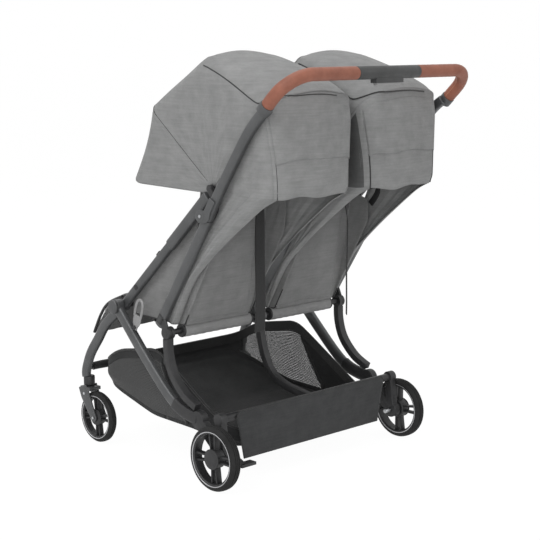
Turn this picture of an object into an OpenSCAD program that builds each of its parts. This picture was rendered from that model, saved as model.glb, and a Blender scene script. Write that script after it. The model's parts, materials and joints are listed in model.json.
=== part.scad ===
// Side by side double stroller, standing open on its four wheels.
// +Z is up, +Y is the handle end, +X is the child's left. Side views are lists of [y, z].
// Heights are above the floor, and lengths along Y are counted from the rear axle.

/* [Wheels] */
// Radius of a rear wheel over its tyre
rear_wheel_r = 85; // [80:1:90]
// Width of a rear tyre
rear_wheel_w = 32; // [28:1:34]
// Radius of a front wheel over its tyre
front_wheel_r = 73; // [68:1:76]
// Width of a front tyre
front_wheel_w = 26; // [22:1:26]
// Distance between the front and rear axles
wheelbase = 566; // [556:1:576]
// Distance of a front wheel's axle behind its swivel axis
caster_trail = 41; // [34:1:44]
// Radius of a rear axle
axle_r = 6; // [5:0.5:7]
// Radius of a front axle
front_axle_r = 4; // [3:0.5:5]

/* [Tubes] */
// Width of the flat oval side tubes across the stroller
tube_w = 22; // [20:1:23]
// Width of the inner side tubes across the stroller
inner_tube_w = 20; // [18:1:20]
// Depth of a leg tube in side view
leg_depth = 26; // [22:1:28]
// Depth of a push tube in side view
push_depth = 24; // [20:1:26]
// Depth of a side bar in side view
side_bar_depth = 28; // [24:1:30]
// Distance from the middle to the outer face of the side tubes
frame_half_w = 342; // [336:1:346]
// Radius of the rear cross tube
crossbar_r = 11; // [9:1:12]
// Radius of the cross tube through the knuckles
knuckle_axle_r = 7; // [6:0.5:8]
// Radius of the cross tube under the seat backs
roll_tube_r = 8; // [7:0.5:9]

/* [Frame points] */
// Knuckle axis ahead of the rear axle
knuckle_ahead = 430; // [424:1:436]
// Height of the knuckle axis
knuckle_z = 418; // [412:1:424]
// Seat roll axis ahead of the rear axle
roll_ahead = 216; // [212:1:220]
// Height of the seat roll axis
roll_z = 376; // [370:1:382]
// Lower end of the push tubes ahead of the rear axle
push_foot_ahead = 248; // [244:1:252]
// Height of the lower end of the push tubes
push_foot_z = 394; // [390:1:398]
// Handle hinge on the push tube's middle line, ahead of the rear axle
hinge_ahead = 55; // [50:1:60]
// Height of the handle hinge on that line
hinge_z = 693; // [688:1:698]
// Handle crossbar behind the rear axle
handle_behind = 250; // [244:1:256]
// Height of the handle crossbar
handle_z = 1063; // [1056:1:1070]

/* [Handle] */
// Radius of the leather grips
grip_r = 16.5; // [15:0.5:18]
// Radius of the tube inside the grips
handle_core_r = 13; // [11:0.5:13.5]
// Bend radius of the handle's corners
handle_bend_r = 75; // [65:1:85]
// Half length of the handle's middle section
handle_centre_half = 115; // [105:1:125]
// Half length of the fold trigger
trigger_half = 45; // [38:1:46]
// Travel of the fold trigger
trigger_travel = 5; // [3:0.5:5]

/* [Seats] */
// Thickness of a seat back pad
back_pad_t = 30; // [24:1:34]
// Thickness of a seat base pad
base_pad_t = 28; // [24:1:28]
// Thickness of a calf rest pad
calf_pad_t = 16; // [12:1:18]
// Distance from the middle to a seat's inner edge
seat_inner_x = 50; // [46:1:56]
// Distance from the inner side tubes to a seat's outer edge
seat_side_gap = 12; // [9:1:19]
// Radius of the fabric roll under a seat back
roll_r = 18.5; // [16:0.5:19]

/* [Canopies] */
// Wall of a canopy
canopy_wall = 4; // [3:0.5:5]
// Distance from the middle to a canopy's inner side
canopy_inner_x = 22; // [20:1:26]
// Gap between a canopy's outer side and the side tubes
canopy_side_gap = 2; // [2:1:8]
// Height of a canopy's pivot
canopy_pivot_z = 770; // [766:1:774]
// Radius of a canopy bow's wire
bow_r = 3; // [2:0.5:3]

/* [Basket] */
// Gap between the basket and the inner side tubes
basket_side_gap = 12; // [9:1:22]
// Wall of the basket
basket_wall = 3; // [2:0.5:4]
// Distance of the rear panel's top corners from the side tubes
panel_top_in = 46; // [42:1:54]
// Distance of the rear panel's foot corners from the side tubes
panel_foot_in = 72; // [66:1:80]

/* [Hidden] */
// Fineness of round shapes
$fn = 48;
// Clearance of a pin in its bore, and of plain faces on different pieces
fit = 0.05;
gap = 0.3;
// How far a cutting shape passes the face it cuts
over = 1;

// Planes of the side tubes across the stroller
outer_x1 = frame_half_w;
outer_x0 = frame_half_w - tube_w;
lap_x = (outer_x0 + outer_x1) / 2;
plane_gap = 3;
inner_x1 = outer_x0 - plane_gap;
inner_x0 = inner_x1 - inner_tube_w;
inner_lap_x = (inner_x0 + inner_x1) / 2;
lap_gap = 0.5;
seat_outer_x = inner_x0 - seat_side_gap;
canopy_outer_x = outer_x0 - canopy_side_gap;
basket_half_w = inner_x0 - basket_side_gap;
panel_top_half = outer_x0 - panel_top_in;
panel_foot_half = outer_x0 - panel_foot_in;

// Main points in side view
knuckle = [-knuckle_ahead, knuckle_z];
roll = [-roll_ahead, roll_z];
push_foot = [-push_foot_ahead, push_foot_z];
hinge_line = [-hinge_ahead, hinge_z];
rear_axle = [0, rear_wheel_r];
front_axle = [-wheelbase, front_wheel_r];
swivel_y = -wheelbase - caster_trail;
handle_bar = [handle_behind, handle_z];

// Vectors in side view
function unit(v) = v / norm(v);
function perp(v) = [-v[1], v[0]];
// Points at shares of the way from a to b, and to the left of it
function along(a, b, shares) = [for (s = shares) a + (b - a) * s[0] + perp(b - a) * s[1]];
// A smooth line through points, with n steps between two of them
function spline_at(a, b, c, d, t) =
    b + (c - a) * t / 2 + (2 * a - 5 * b + 4 * c - d) * t * t / 2
    + (3 * b - a - 3 * c + d) * t * t * t / 2;
function spline(p, n) = concat([for (i = [0:len(p) - 2], k = [0:n - 1])
    spline_at(p[max(i - 1, 0)], p[i], p[i + 1], p[min(i + 2, len(p) - 1)], k / n)], [p[len(p) - 1]]);
function heading(p, i) = unit(p[min(i + 1, len(p) - 1)] - p[max(i - 1, 0)]);
// The outline of a strip of even depth along a line
function ribbon(p, half) = concat([for (i = [0:len(p) - 1]) p[i] + perp(heading(p, i)) * half],
    [for (i = [len(p) - 1:-1:0]) p[i] - perp(heading(p, i)) * half]);

// Push tube's direction, and the handle hinge's pin ahead of its front face
push_dir = unit(hinge_line - push_foot);
hinge_ahead_of_tube = 4.5;
hinge_offset = push_depth / 2 + hinge_ahead_of_tube;
hinge_lug_r = 13;
hinge_pin_r = 5;
hinge = hinge_line + perp(push_dir) * hinge_offset;
hinge_plate_t = 5;
hinge_plate_r = 17;

// The origin is midway between the front tyre and the handle's grip
front_end = -wheelbase - front_wheel_r;
rear_end = handle_behind + grip_r;
middle_y = (front_end + rear_end) / 2;

graphite = "#4b4d51";
black = "#1f2022";
cloth = "#8a8a8b";
dark_cloth = "#3a3b3d";
leather = "#8c5a46";
steel = "#b4b6b9";
rubber = "#19191a";

// Moves a piece from the rear axle's frame to the origin
module placed() {
    translate([0, -middle_y, 0]) children();
}

// A side view outline as a plate from x0 to x1
module side_plate(points, x0, x1) {
    translate([x0, 0, 0]) rotate([90, 0, 90]) linear_extrude(height = x1 - x0) polygon(points);
}

// A round bar across the stroller, from x0 to x1 at a side view point
module cross_bar(r, x0, x1, at) {
    translate([x0, at[0], at[1]]) rotate([0, 90, 0]) cylinder(r = r, h = x1 - x0);
}

module right_side() {
    mirror([1, 0, 0]) children();
}

module both_sides() {
    children();
    right_side() children();
}

// Rear legs
block_ahead = 92;
block_z = 164;
block_r = 24;
block = [-block_ahead, block_z];
rear_leg_shares = [[0, 0], [0.42, -0.065], [0.78, -0.088], [1, 0]];
rear_leg_path = spline(along(knuckle, block, rear_leg_shares), 6);
knuckle_eye_r = 20;
hook_lug_r = 9;
hook_lug_t = 6;
hook_pin_r = 3;
hook_shares = [[0.2166, 0.0267]];
hook_foot = along(knuckle, block, hook_shares)[0];
hook_x0 = outer_x0 + hook_lug_t;
hook_x1 = outer_x1 - over;

module rear_leg() {
    difference() {
        union() {
            side_plate(ribbon(rear_leg_path, leg_depth / 2), outer_x0, outer_x1);
            cross_bar(knuckle_eye_r, outer_x0, outer_x1, knuckle);
        }
        cross_bar(knuckle_axle_r + fit, outer_x0 - over, outer_x1 + over, knuckle);
        cross_bar(block_r + gap, outer_x0 - over, outer_x1 + over, block);
    }
}

module rear_leg_left() {
    color(graphite) placed() {
        difference() {
            union() {
                rear_leg();
                side_plate(ribbon([rear_leg_path[3], hook_foot], hook_lug_r), outer_x0, hook_x0);
                cross_bar(hook_lug_r, outer_x0, hook_x0, hook_foot);
                cross_bar(hook_pin_r, outer_x0, hook_x1, hook_foot);
            }
        }
    }
}

module rear_leg_right() {
    color(graphite) placed() right_side() rear_leg();
}

// Axle blocks, which take the leg, the strut, the crossbar and the axle
axle_eye_r = 21;
block_arm_depth = 30;
riser_depth = 24;
crossbar_ahead = 12;
crossbar_z = 180;
crossbar_eye_r = 16;
crossbar = [-crossbar_ahead, crossbar_z];

module axle_block() {
    difference() {
        union() {
            cross_bar(block_r, outer_x0, outer_x1, block);
            side_plate(ribbon([block, rear_axle], block_arm_depth / 2), outer_x0, outer_x1);
            cross_bar(axle_eye_r, outer_x0, outer_x1, rear_axle);
            side_plate(ribbon([rear_axle, crossbar], riser_depth / 2), outer_x0, outer_x1);
            cross_bar(crossbar_eye_r, outer_x0, outer_x1, crossbar);
        }
        cross_bar(axle_r + fit, outer_x0 - over, outer_x1 + over, rear_axle);
    }
}

module axle_blocks() {
    color(black) placed() both_sides() axle_block();
}

// Struts that carry the seat roll above the rear legs
strut_depth = 18;
strut_eye_r = 17;
strut_shares = [[0, 0], [0.22, -0.13], [0.48, -0.19], [0.78, -0.13], [1, 0]];
strut_end_ahead = 100;
strut_end_z = 196;
strut_path = spline(along(roll, [-strut_end_ahead, strut_end_z], strut_shares), 6);
centre_strut_half = 10;
centre_eye_half = 7;
centre_half = 18;
centre_strut_shares = [[0, 0], [0.3, -0.19], [0.53, -0.25], [0.72, -0.19], [0.9, -0.07], [1, 0]];
centre_strut_path = spline(along(roll, crossbar, centre_strut_shares), 6);

module strut() {
    difference() {
        union() {
            side_plate(ribbon(strut_path, strut_depth / 2), outer_x0, outer_x1);
            cross_bar(strut_eye_r, outer_x0, lap_x - lap_gap, roll);
        }
        cross_bar(strut_eye_r + lap_gap, lap_x - lap_gap, outer_x1 + over, roll);
        cross_bar(roll_tube_r + fit, outer_x0 - over, outer_x1 + over, roll);
        cross_bar(block_r + gap, outer_x0 - over, outer_x1 + over, block);
    }
}

module side_struts() {
    color(black) placed() both_sides() strut();
}

module strut_centre() {
    color(black) placed() difference() {
        union() {
            side_plate(ribbon(centre_strut_path, strut_depth / 2), -centre_strut_half, centre_strut_half);
            cross_bar(strut_eye_r, -centre_eye_half, centre_eye_half, roll);
        }
        both_sides() cross_bar(strut_eye_r + lap_gap, centre_eye_half, centre_half, roll);
        cross_bar(roll_tube_r + fit, -centre_half, centre_half, roll);
        cross_bar(crossbar_r + gap, -centre_half, centre_half, crossbar);
    }
}

module rear_crossbar() {
    color(black) placed() cross_bar(crossbar_r, -outer_x0, outer_x0, crossbar);
}

module knuckle_axle() {
    color(black) placed() cross_bar(knuckle_axle_r, -outer_x1, outer_x1, knuckle);
}

// Round covers outside the knuckles
cap_t = 8;
cap_r = 19;

module knuckle_caps() {
    color(black) placed() both_sides() cross_bar(cap_r, outer_x1, outer_x1 + cap_t, knuckle);
}

// Rear axles run from the brake side through the block into the wheel
wheel_clear = 3;
rear_wheel_x0 = outer_x1 + wheel_clear;
rear_wheel_x1 = rear_wheel_x0 + rear_wheel_w;
axle_inset = 22;
axle_short = 2;

module rear_axles() {
    color(steel) placed() both_sides()
        cross_bar(axle_r, outer_x0 - axle_inset, rear_wheel_x1 - axle_short, rear_axle);
}

// Front legs
socket_top_z = 188;
socket_foot_z = 160;
socket_r = 16;
stem_r = 6;
stem_top_z = 184;
fork_room = 7;
caster_half_w = front_wheel_w / 2 + fork_room;
caster_x = outer_x0 - over - caster_half_w;
front_leg_shares = [[0, 0], [0.33, -0.09], [0.55, -0.095], [0.76, -0.095], [0.94, -0.05], [1, 0]];
leg_end_drop = 6;
front_leg_path = spline(along(knuckle, [swivel_y, socket_top_z - leg_end_drop], front_leg_shares), 5);
inner_eye_r = 16;
lap_cut_r = 24;

module front_leg() {
    difference() {
        union() {
            side_plate(ribbon(front_leg_path, leg_depth / 2), inner_x0, inner_x1);
            cross_bar(inner_eye_r, inner_x0, inner_lap_x - lap_gap, knuckle);
        }
        cross_bar(lap_cut_r, inner_lap_x - lap_gap, inner_x1 + over, knuckle);
        cross_bar(knuckle_axle_r + fit, inner_x0 - over, inner_x1 + over, knuckle);
        translate([caster_x, swivel_y, socket_foot_z])
            cylinder(r = socket_r * 3, h = socket_top_z - socket_foot_z);
    }
}

module front_leg_left() {
    color(graphite) placed() front_leg();
}

module front_leg_right() {
    color(graphite) placed() right_side() front_leg();
}

// Cross tube between the front legs, which carries the basket's front edge
front_bar_r = 9;
front_bar = front_leg_path[19];

module front_crossbar() {
    color(black) placed() cross_bar(front_bar_r, -inner_x0, inner_x0, front_bar);
}

module caster_sockets() {
    color(black) placed() both_sides() difference() {
        translate([caster_x, swivel_y, socket_foot_z]) cylinder(r = socket_r, h = socket_top_z - socket_foot_z);
        translate([caster_x, swivel_y, socket_foot_z - over])
            cylinder(r = stem_r + fit, h = stem_top_z + gap - socket_foot_z + over);
    }
}

// Caster forks
crown_clear = 2;
crown_foot_z = front_wheel_r * 2 + crown_clear;
crown_top_z = socket_foot_z - crown_clear;
crown_front = 17;
crown_back = 27;
fork_t = 5;
fork_depth = 22;
fork_eye_r = 12;

module caster_fork() {
    fork_x0 = caster_half_w - fork_t;
    translate([caster_x, 0, 0]) {
        translate([-caster_half_w, swivel_y - crown_front, crown_foot_z])
            cube([caster_half_w * 2, crown_front + crown_back, crown_top_z - crown_foot_z]);
        translate([0, swivel_y, crown_foot_z]) cylinder(r = stem_r, h = stem_top_z - crown_foot_z);
        both_sides() {
            side_plate(ribbon([[swivel_y, crown_top_z], front_axle], fork_depth / 2), fork_x0, caster_half_w);
            cross_bar(fork_eye_r, fork_x0, caster_half_w, front_axle);
        }
        cross_bar(front_axle_r, -caster_half_w, caster_half_w, front_axle);
    }
}

module trimmed_fork() {
    difference() {
        caster_fork();
        translate([caster_x - socket_r * 2, swivel_y - socket_r * 2, crown_top_z])
            difference() {
                cube([socket_r * 4, socket_r * 4, socket_r]);
                translate([socket_r * 2, socket_r * 2, -over]) cylinder(r = stem_r, h = socket_r * 2);
            }
    }
}

module caster_fork_left() {
    color(graphite) placed() trimmed_fork();
}

module caster_fork_right() {
    color(graphite) placed() right_side() trimmed_fork();
}

// Wheels turn about X at their own middle
rim_depth = 6;
tyre_depth_share = 0.155;
crown_share = 0.62;
spoke_pairs = 4;
spoke_t = 4;
spoke_gap_share = 0.1;
rim_inset = 2;
hub_share = 0.36;
spoke_w_share = 0.5;

module tyre(r, w) {
    rim_r = r * (1 - tyre_depth_share);
    rotate([0, 90, 0]) rotate_extrude() intersection() {
        translate([r - w * crown_share, 0]) circle(r = w * crown_share);
        translate([rim_r, -w / 2]) square([r - rim_r, w]);
    }
}

module rim(r, w, bore_r) {
    rim_r = r * (1 - tyre_depth_share);
    hub_r = r * hub_share;
    spoke_w = w * spoke_w_share;
    rotate([0, 90, 0]) difference() {
        union() {
            difference() {
                cylinder(r = rim_r, h = w - rim_inset, center = true);
                cylinder(r = rim_r - rim_depth, h = w, center = true);
            }
            cylinder(r = hub_r, h = w - rim_inset * 2, center = true);
            for (k = [0:spoke_pairs - 1], s = [-1, 1])
                rotate([0, 0, 360 * k / spoke_pairs])
                    translate([hub_r - rim_depth, s * r * spoke_gap_share - spoke_t / 2, -spoke_w / 2])
                        cube([rim_r - hub_r + rim_depth / 2, spoke_t, spoke_w]);
        }
        cylinder(r = bore_r, h = w * 2, center = true);
    }
}

module at_rear_wheel() {
    translate([(rear_wheel_x0 + rear_wheel_x1) / 2, rear_axle[0], rear_axle[1]]) children();
}

module at_front_wheel() {
    translate([caster_x, front_axle[0], front_axle[1]]) children();
}

module tyre_front_left() {
    color(rubber) placed() at_front_wheel() tyre(front_wheel_r, front_wheel_w);
}

module tyre_front_right() {
    color(rubber) placed() right_side() at_front_wheel() tyre(front_wheel_r, front_wheel_w);
}

module tyre_rear_left() {
    color(rubber) placed() at_rear_wheel() tyre(rear_wheel_r, rear_wheel_w);
}

module tyre_rear_right() {
    color(rubber) placed() right_side() at_rear_wheel() tyre(rear_wheel_r, rear_wheel_w);
}

module rim_front_left() {
    color(black) placed() at_front_wheel() rim(front_wheel_r, front_wheel_w, front_axle_r + fit);
}

module rim_front_right() {
    color(black) placed() right_side() at_front_wheel() rim(front_wheel_r, front_wheel_w, front_axle_r + fit);
}

module rim_rear_left() {
    color(black) placed() at_rear_wheel() rim(rear_wheel_r, rear_wheel_w, axle_r + fit);
}

module rim_rear_right() {
    color(black) placed() right_side() at_rear_wheel() rim(rear_wheel_r, rear_wheel_w, axle_r + fit);
}

// Push tubes from the seat roll up to the handle hinge
push_lug_depth = 26;
hinge_cut = 0.4;
hinge_lug_len = 34;
hinge_lug_half = 10;
lug_top = hinge_line + perp(push_dir) * hinge_lug_half;

module push_tube() {
    difference() {
        union() {
            side_plate(ribbon([push_foot, hinge_line], push_depth / 2), outer_x0, outer_x1);
            side_plate(ribbon([push_foot + push_dir * push_depth, roll], push_lug_depth / 2), lap_x, outer_x1);
            cross_bar(strut_eye_r, lap_x, outer_x1, roll);
            side_plate(ribbon([lug_top - push_dir * hinge_lug_len, lug_top], hinge_lug_half), outer_x0, outer_x1);
            cross_bar(hinge_lug_r, outer_x0, outer_x1, hinge);
        }
        cross_bar(roll_tube_r + fit, outer_x0 - over, outer_x1 + over, roll);
        cross_bar(hinge_pin_r + fit, outer_x0 - over, outer_x1 + over, hinge);
    }
}

module push_tube_left() {
    color(graphite) placed() push_tube();
}

module push_tube_right() {
    color(graphite) placed() right_side() push_tube();
}

// Post between the seats, in the plane of the push tubes
pivot_behind_hinge = 3;
canopy_pivot = [hinge[0] + pivot_behind_hinge, canopy_pivot_z];
pivot_r = 4;
lug_half = 8;
pivot_eye_r = 10;
lug_shares = [[0, 0.1], [0.4, -0.2], [0.75, -0.18], [1, 0]];
lug_path = spline(along(hinge_line - push_dir * hinge_plate_r, canopy_pivot, lug_shares), 5);
inner_pin_len = 56;
inner_pin_end = canopy_inner_x + inner_pin_len;
lug_t = 14;
outer_pin_len = 44;
outer_lug_x0 = outer_x0 - lug_t;
outer_pin_end = outer_lug_x0 - outer_pin_len;

module centre_post() {
    color(graphite) placed() {
        difference() {
            union() {
                side_plate(ribbon([push_foot, hinge_line], push_depth / 2), -centre_half, centre_half);
                both_sides() {
                    side_plate(ribbon([push_foot + push_dir * push_depth, roll], push_lug_depth / 2),
                        centre_eye_half + lap_gap, centre_half);
                    cross_bar(strut_eye_r, centre_eye_half + lap_gap, centre_half, roll);
                }
                side_plate(ribbon(lug_path, lug_half), -centre_half, centre_half);
                cross_bar(pivot_eye_r, -centre_half, centre_half, canopy_pivot);
                cross_bar(pivot_r, -inner_pin_end, inner_pin_end, canopy_pivot);
            }
            cross_bar(roll_tube_r + fit, -centre_half - over, centre_half + over, roll);
        }
    }
}

module roll_tube() {
    color(black) placed() cross_bar(roll_tube_r, -outer_x1, outer_x1, roll);
}

// Fabric rolls round the tube below each seat back
roll_inner_x = 38;

module seat_rolls() {
    color(cloth) placed() both_sides() difference() {
        cross_bar(roll_r, roll_inner_x, seat_outer_x, roll);
        cross_bar(roll_tube_r + fit, roll_inner_x - over, seat_outer_x + over, roll);
    }
}

// Lugs inside the push tubes that carry the canopies' outer pivots
module canopy_lugs() {
    color(black) placed() both_sides() {
        side_plate(ribbon(lug_path, lug_half), outer_lug_x0, outer_x0);
        cross_bar(pivot_eye_r, outer_lug_x0, outer_x0 - plane_gap, canopy_pivot);
        cross_bar(pivot_r, outer_pin_end, outer_lug_x0 + over, canopy_pivot);
    }
}

// Handle: two side tubes from the hinges, and a bent tube between them
handle_leg_out = 1;
handle_leg_x = outer_x1 + handle_leg_out;
collar_ahead = -165;
collar_z = 982;
collar_at = [-collar_ahead, collar_z];
handle_shares = [[0, 0], [0.17, 0.02], [0.515, 0.042], [0.75, 0.048], [0.9, 0.031], [1, 0]];
handle_path = spline(along(hinge_line + push_dir * hinge_cut, collar_at, handle_shares), 5);
handle_dir = unit(handle_bar - collar_at);
handle_reach = norm(handle_bar - collar_at);
handle_tilt = atan2(handle_dir[1], handle_dir[0]);
core_back = 14;
bend_x = handle_leg_x - handle_bend_r;

// Local frame of the bent tube: X across, Y from the collar to the crossbar
module at_collar() {
    translate([0, collar_at[0], collar_at[1]]) rotate([handle_tilt, 0, 0]) children();
}

module bent_side(r) {
    translate([bend_x, handle_reach - handle_bend_r, 0])
        rotate_extrude(angle = 90) translate([handle_bend_r, 0]) circle(r = r);
}

module bent_leg(r, from) {
    translate([handle_leg_x, from, 0]) rotate([-90, 0, 0])
        cylinder(r = r, h = handle_reach - handle_bend_r - from);
}

module bent_bar(r, x0, x1) {
    translate([x0, handle_reach, 0]) rotate([0, 90, 0]) cylinder(r = r, h = x1 - x0);
}

module handle_side() {
    difference() {
        union() {
            side_plate(ribbon(handle_path, push_depth / 2), outer_x0, outer_x1);
            side_plate(ribbon([for (k = [1:4]) handle_path[k]], push_depth / 2 - over),
                outer_x1 - hinge_plate_t, outer_x1 + hinge_plate_t - over);
            side_plate(ribbon([handle_path[2], hinge], hinge_plate_r), outer_x1 + gap, outer_x1 + hinge_plate_t);
            cross_bar(hinge_plate_r, outer_x1 + gap, outer_x1 + hinge_plate_t, hinge);
        }
        cross_bar(hinge_lug_r + gap, outer_x0 - over, outer_x1 + gap, hinge);
        side_plate(ribbon([push_foot, hinge_line + push_dir * hinge_cut], push_depth * 2),
            outer_x0 - over, outer_x1 + gap);
        at_collar() translate([outer_x0 - over, -gap, -push_depth])
            cube([tube_w * 2, push_depth * 2, push_depth * 2]);
    }
    cross_bar(hinge_pin_r, outer_x0, outer_x1 + hinge_plate_t, hinge);
}

module handle_sides() {
    color(graphite) placed() both_sides() handle_side();
}

module bent_tube(r) {
    both_sides() {
        bent_leg(r, 0);
        bent_side(r);
    }
    bent_bar(r, -bend_x, bend_x);
}

module handle_bar() {
    color(graphite) placed() at_collar() bent_tube(handle_core_r);
}

// Black collars where the leather starts
collar_r = 18;
collar_len = 22;

module handle_collars() {
    color(black) placed() both_sides() difference() {
        at_collar() translate([handle_leg_x, -collar_len / 2, 0]) rotate([-90, 0, 0])
            cylinder(r = collar_r, h = collar_len);
        handle_side();
        at_collar() bent_leg(handle_core_r + fit, 0);
    }
}

// Leather sleeves, sewn from a straight, a bent and a long piece
seam = 0.1;

module straight_sleeve(h) {
    difference() {
        cylinder(r = grip_r, h = h);
        translate([0, 0, -over]) cylinder(r = handle_core_r + fit, h = h + over * 2);
    }
}

module handle_grips() {
    color(leather) placed() both_sides() at_collar() {
        translate([handle_leg_x, collar_len / 2 + seam, 0]) rotate([-90, 0, 0])
            straight_sleeve(handle_reach - handle_bend_r - collar_len / 2 - seam * 2);
        translate([bend_x, handle_reach - handle_bend_r, 0]) rotate_extrude(angle = 90)
            translate([handle_bend_r, 0]) difference() {
                circle(r = grip_r);
                circle(r = handle_core_r + fit);
            }
        translate([handle_centre_half + seam, handle_reach, 0]) rotate([0, 90, 0])
            straight_sleeve(bend_x - handle_centre_half - seam * 2);
    }
}

// Middle of the handle, with a pocket for the fold trigger
pocket_wall = 6;
pocket_depth = 26;
trigger_half_d = 7.5;
trigger_t = 13;
trigger_drop = 32;
pocket_clear = 0.4;

module handle_centre() {
    color(graphite) placed() translate([0, handle_bar[0], handle_bar[1]]) difference() {
        union() {
            translate([-handle_centre_half, 0, 0]) rotate([0, 90, 0])
                cylinder(r = grip_r, h = handle_centre_half * 2);
            translate([-trigger_half - pocket_wall, -trigger_half_d - pocket_wall / 2, -pocket_depth])
                cube([(trigger_half + pocket_wall) * 2, trigger_half_d * 2 + pocket_wall, pocket_depth]);
        }
        translate([-handle_centre_half - over, 0, 0]) rotate([0, 90, 0])
            cylinder(r = handle_core_r + fit, h = (handle_centre_half + over) * 2);
        translate([-trigger_half - pocket_clear, -trigger_half_d - pocket_clear, -pocket_depth - over])
            cube([(trigger_half + pocket_clear) * 2, (trigger_half_d + pocket_clear) * 2,
                pocket_depth + over + trigger_t - trigger_drop + trigger_travel + pocket_clear]);
    }
}

module fold_trigger() {
    color(steel) placed() translate([-trigger_half, handle_bar[0] - trigger_half_d, handle_bar[1] - trigger_drop])
        cube([trigger_half * 2, trigger_half_d * 2, trigger_t]);
}

// Side bars from the knuckle up towards the canopy pivot
bar_top_ahead = 78;
bar_top_z = 750;
bar_top = [-bar_top_ahead, bar_top_z];
bar_step_share = 0.57;
bar_nub_share = 0.46;
bar_socket_share = 0.18;
bar_thin = 3;
nub_half = 9;
nub_t = 4;
socket_hole_r = 7;
socket_hole_depth = 4;

module side_bar() {
    bar_dir = unit(bar_top - knuckle);
    step = knuckle + (bar_top - knuckle) * bar_step_share;
    nub = knuckle + (bar_top - knuckle) * bar_nub_share + perp(bar_dir) * side_bar_depth / 2;
    difference() {
        union() {
            side_plate(ribbon([knuckle, step], side_bar_depth / 2 - bar_thin / 2), inner_x0, inner_x1);
            side_plate(ribbon([step, bar_top], side_bar_depth / 2), inner_x0, inner_x1);
            side_plate(ribbon([nub - bar_dir * nub_half, nub + bar_dir * nub_half], nub_t),
                inner_x0 + nub_t, inner_x1 - nub_t);
            cross_bar(inner_eye_r, inner_lap_x, inner_x1, knuckle);
        }
        cross_bar(lap_cut_r, inner_x0 - over, inner_lap_x, knuckle);
        cross_bar(knuckle_axle_r + fit, inner_x0 - over, inner_x1 + over, knuckle);
        cross_bar(socket_hole_r, inner_x1 - socket_hole_depth, inner_x1 + over,
            knuckle + (bar_top - knuckle) * bar_socket_share);
    }
}

module side_bar_left() {
    color(graphite) placed() side_bar();
}

module side_bar_right() {
    color(graphite) placed() right_side() side_bar();
}

// Brake pedal on the left axle, inside the block
pedal_hub_r = 13;
pedal_arm_depth = 10;
pedal_tip_behind = 44;
pedal_tip_z = 66;
pedal_half_d = 12;
pedal_t = 8;
pedal_w = 50;

module brake_pedal() {
    pedal_x1 = outer_x0 - over;
    tip = [pedal_tip_behind, pedal_tip_z];
    color(black) placed() difference() {
        union() {
            cross_bar(pedal_hub_r, pedal_x1 - axle_inset + over, pedal_x1, rear_axle);
            side_plate(ribbon([rear_axle, tip], pedal_arm_depth / 2), pedal_x1 - axle_inset + over, pedal_x1);
            side_plate(ribbon([tip - [pedal_half_d, 0], tip + [pedal_half_d, 0]], pedal_t / 2),
                pedal_x1 - pedal_w, pedal_x1);
        }
        cross_bar(axle_r + fit, pedal_x1 - pedal_w - over, pedal_x1 + over, rear_axle);
    }
}

// Storage hook on the left rear leg
hook_tip_ahead = 329;
hook_tip_z = 439;
hook_half = 9;
hook_window_shares = [[0.5, -0.06], [0.82, 0], [0.5, 0.06]];

module storage_hook() {
    tip = [-hook_tip_ahead, hook_tip_z];
    color(steel) placed() difference() {
        union() {
            side_plate(ribbon([hook_foot, tip], hook_half), hook_x0 + gap, hook_x1);
            cross_bar(hook_half, hook_x0 + gap, hook_x1, hook_foot);
            cross_bar(hook_half, hook_x0 + gap, hook_x1, tip);
        }
        cross_bar(hook_pin_r + fit, hook_x0, hook_x1 + over, hook_foot);
        side_plate(along(hook_foot, tip, hook_window_shares), hook_x0, hook_x1 + over);
    }
}

// A padded piece: a smooth middle line in side view, swept across from x0 to x1.
// It is full in the middle, thin at the seam, and its sides draw in between its corners.
pad_across = 8;
pad_along = 12;
seam_share = 0.35;
draw_in_share = 0.035;

function pad_fullness(u, v) = seam_share + (1 - seam_share)
    * pow(max(0, (1 - pow(abs(2 * u - 1), 4)) * (1 - pow(abs(2 * v - 1), 4))), 0.5);

function pad_points(path, x0, x1, t, side) = [for (j = [0:pad_along], i = [0:pad_across])
    let (u = i / pad_across, v = j / pad_along, m = round(v * (len(path) - 1)),
        in = draw_in_share * sin(180 * v) * (1 - 2 * u) * (x1 - x0),
        p = path[m] + perp(heading(path, m)) * side * t / 2 * pad_fullness(u, v))
    [x0 + (x1 - x0) * u + in, p[0], p[1]]];

module pad(path, x0, x1, t) {
    n = pad_across + 1;
    all = n * (pad_along + 1);
    edge = concat([for (i = [0:pad_across]) i], [for (j = [1:pad_along]) j * n + pad_across],
        [for (i = [pad_across - 1:-1:0]) pad_along * n + i], [for (j = [pad_along - 1:-1:1]) j * n]);
    top = [for (j = [0:pad_along - 1], i = [0:pad_across - 1], k = [0, 1])
        let (a = j * n + i) k == 0 ? [a, a + n, a + 1] : [a + 1, a + n, a + n + 1]];
    foot = [for (f = top) [f[0] + all, f[2] + all, f[1] + all]];
    rim = [for (e = [0:len(edge) - 1], k = [0, 1])
        let (a = edge[e], b = edge[(e + 1) % len(edge)])
        k == 0 ? [a, b, a + all] : [b, b + all, a + all]];
    polyhedron(points = concat(pad_points(path, x0, x1, t, 1), pad_points(path, x0, x1, t, -1)),
        faces = concat(top, foot, rim));
}

// Seat base pads, slung between the knuckle tube, which they wrap, and the seat roll
base_sleeve_r = 14.6;
base_sleeve_share = 0.28;
base_front_lift = 25;
base_rear_lift = 34;
base_front_over = 6;
base_rear_short = 14;
base_sag_shares = [[0, 0], [0.3, -0.035], [0.65, -0.035], [1, 0]];
base_path = spline(along(knuckle + [-base_front_over, base_front_lift],
    roll + [-base_rear_short, base_rear_lift], base_sag_shares), 8);

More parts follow.
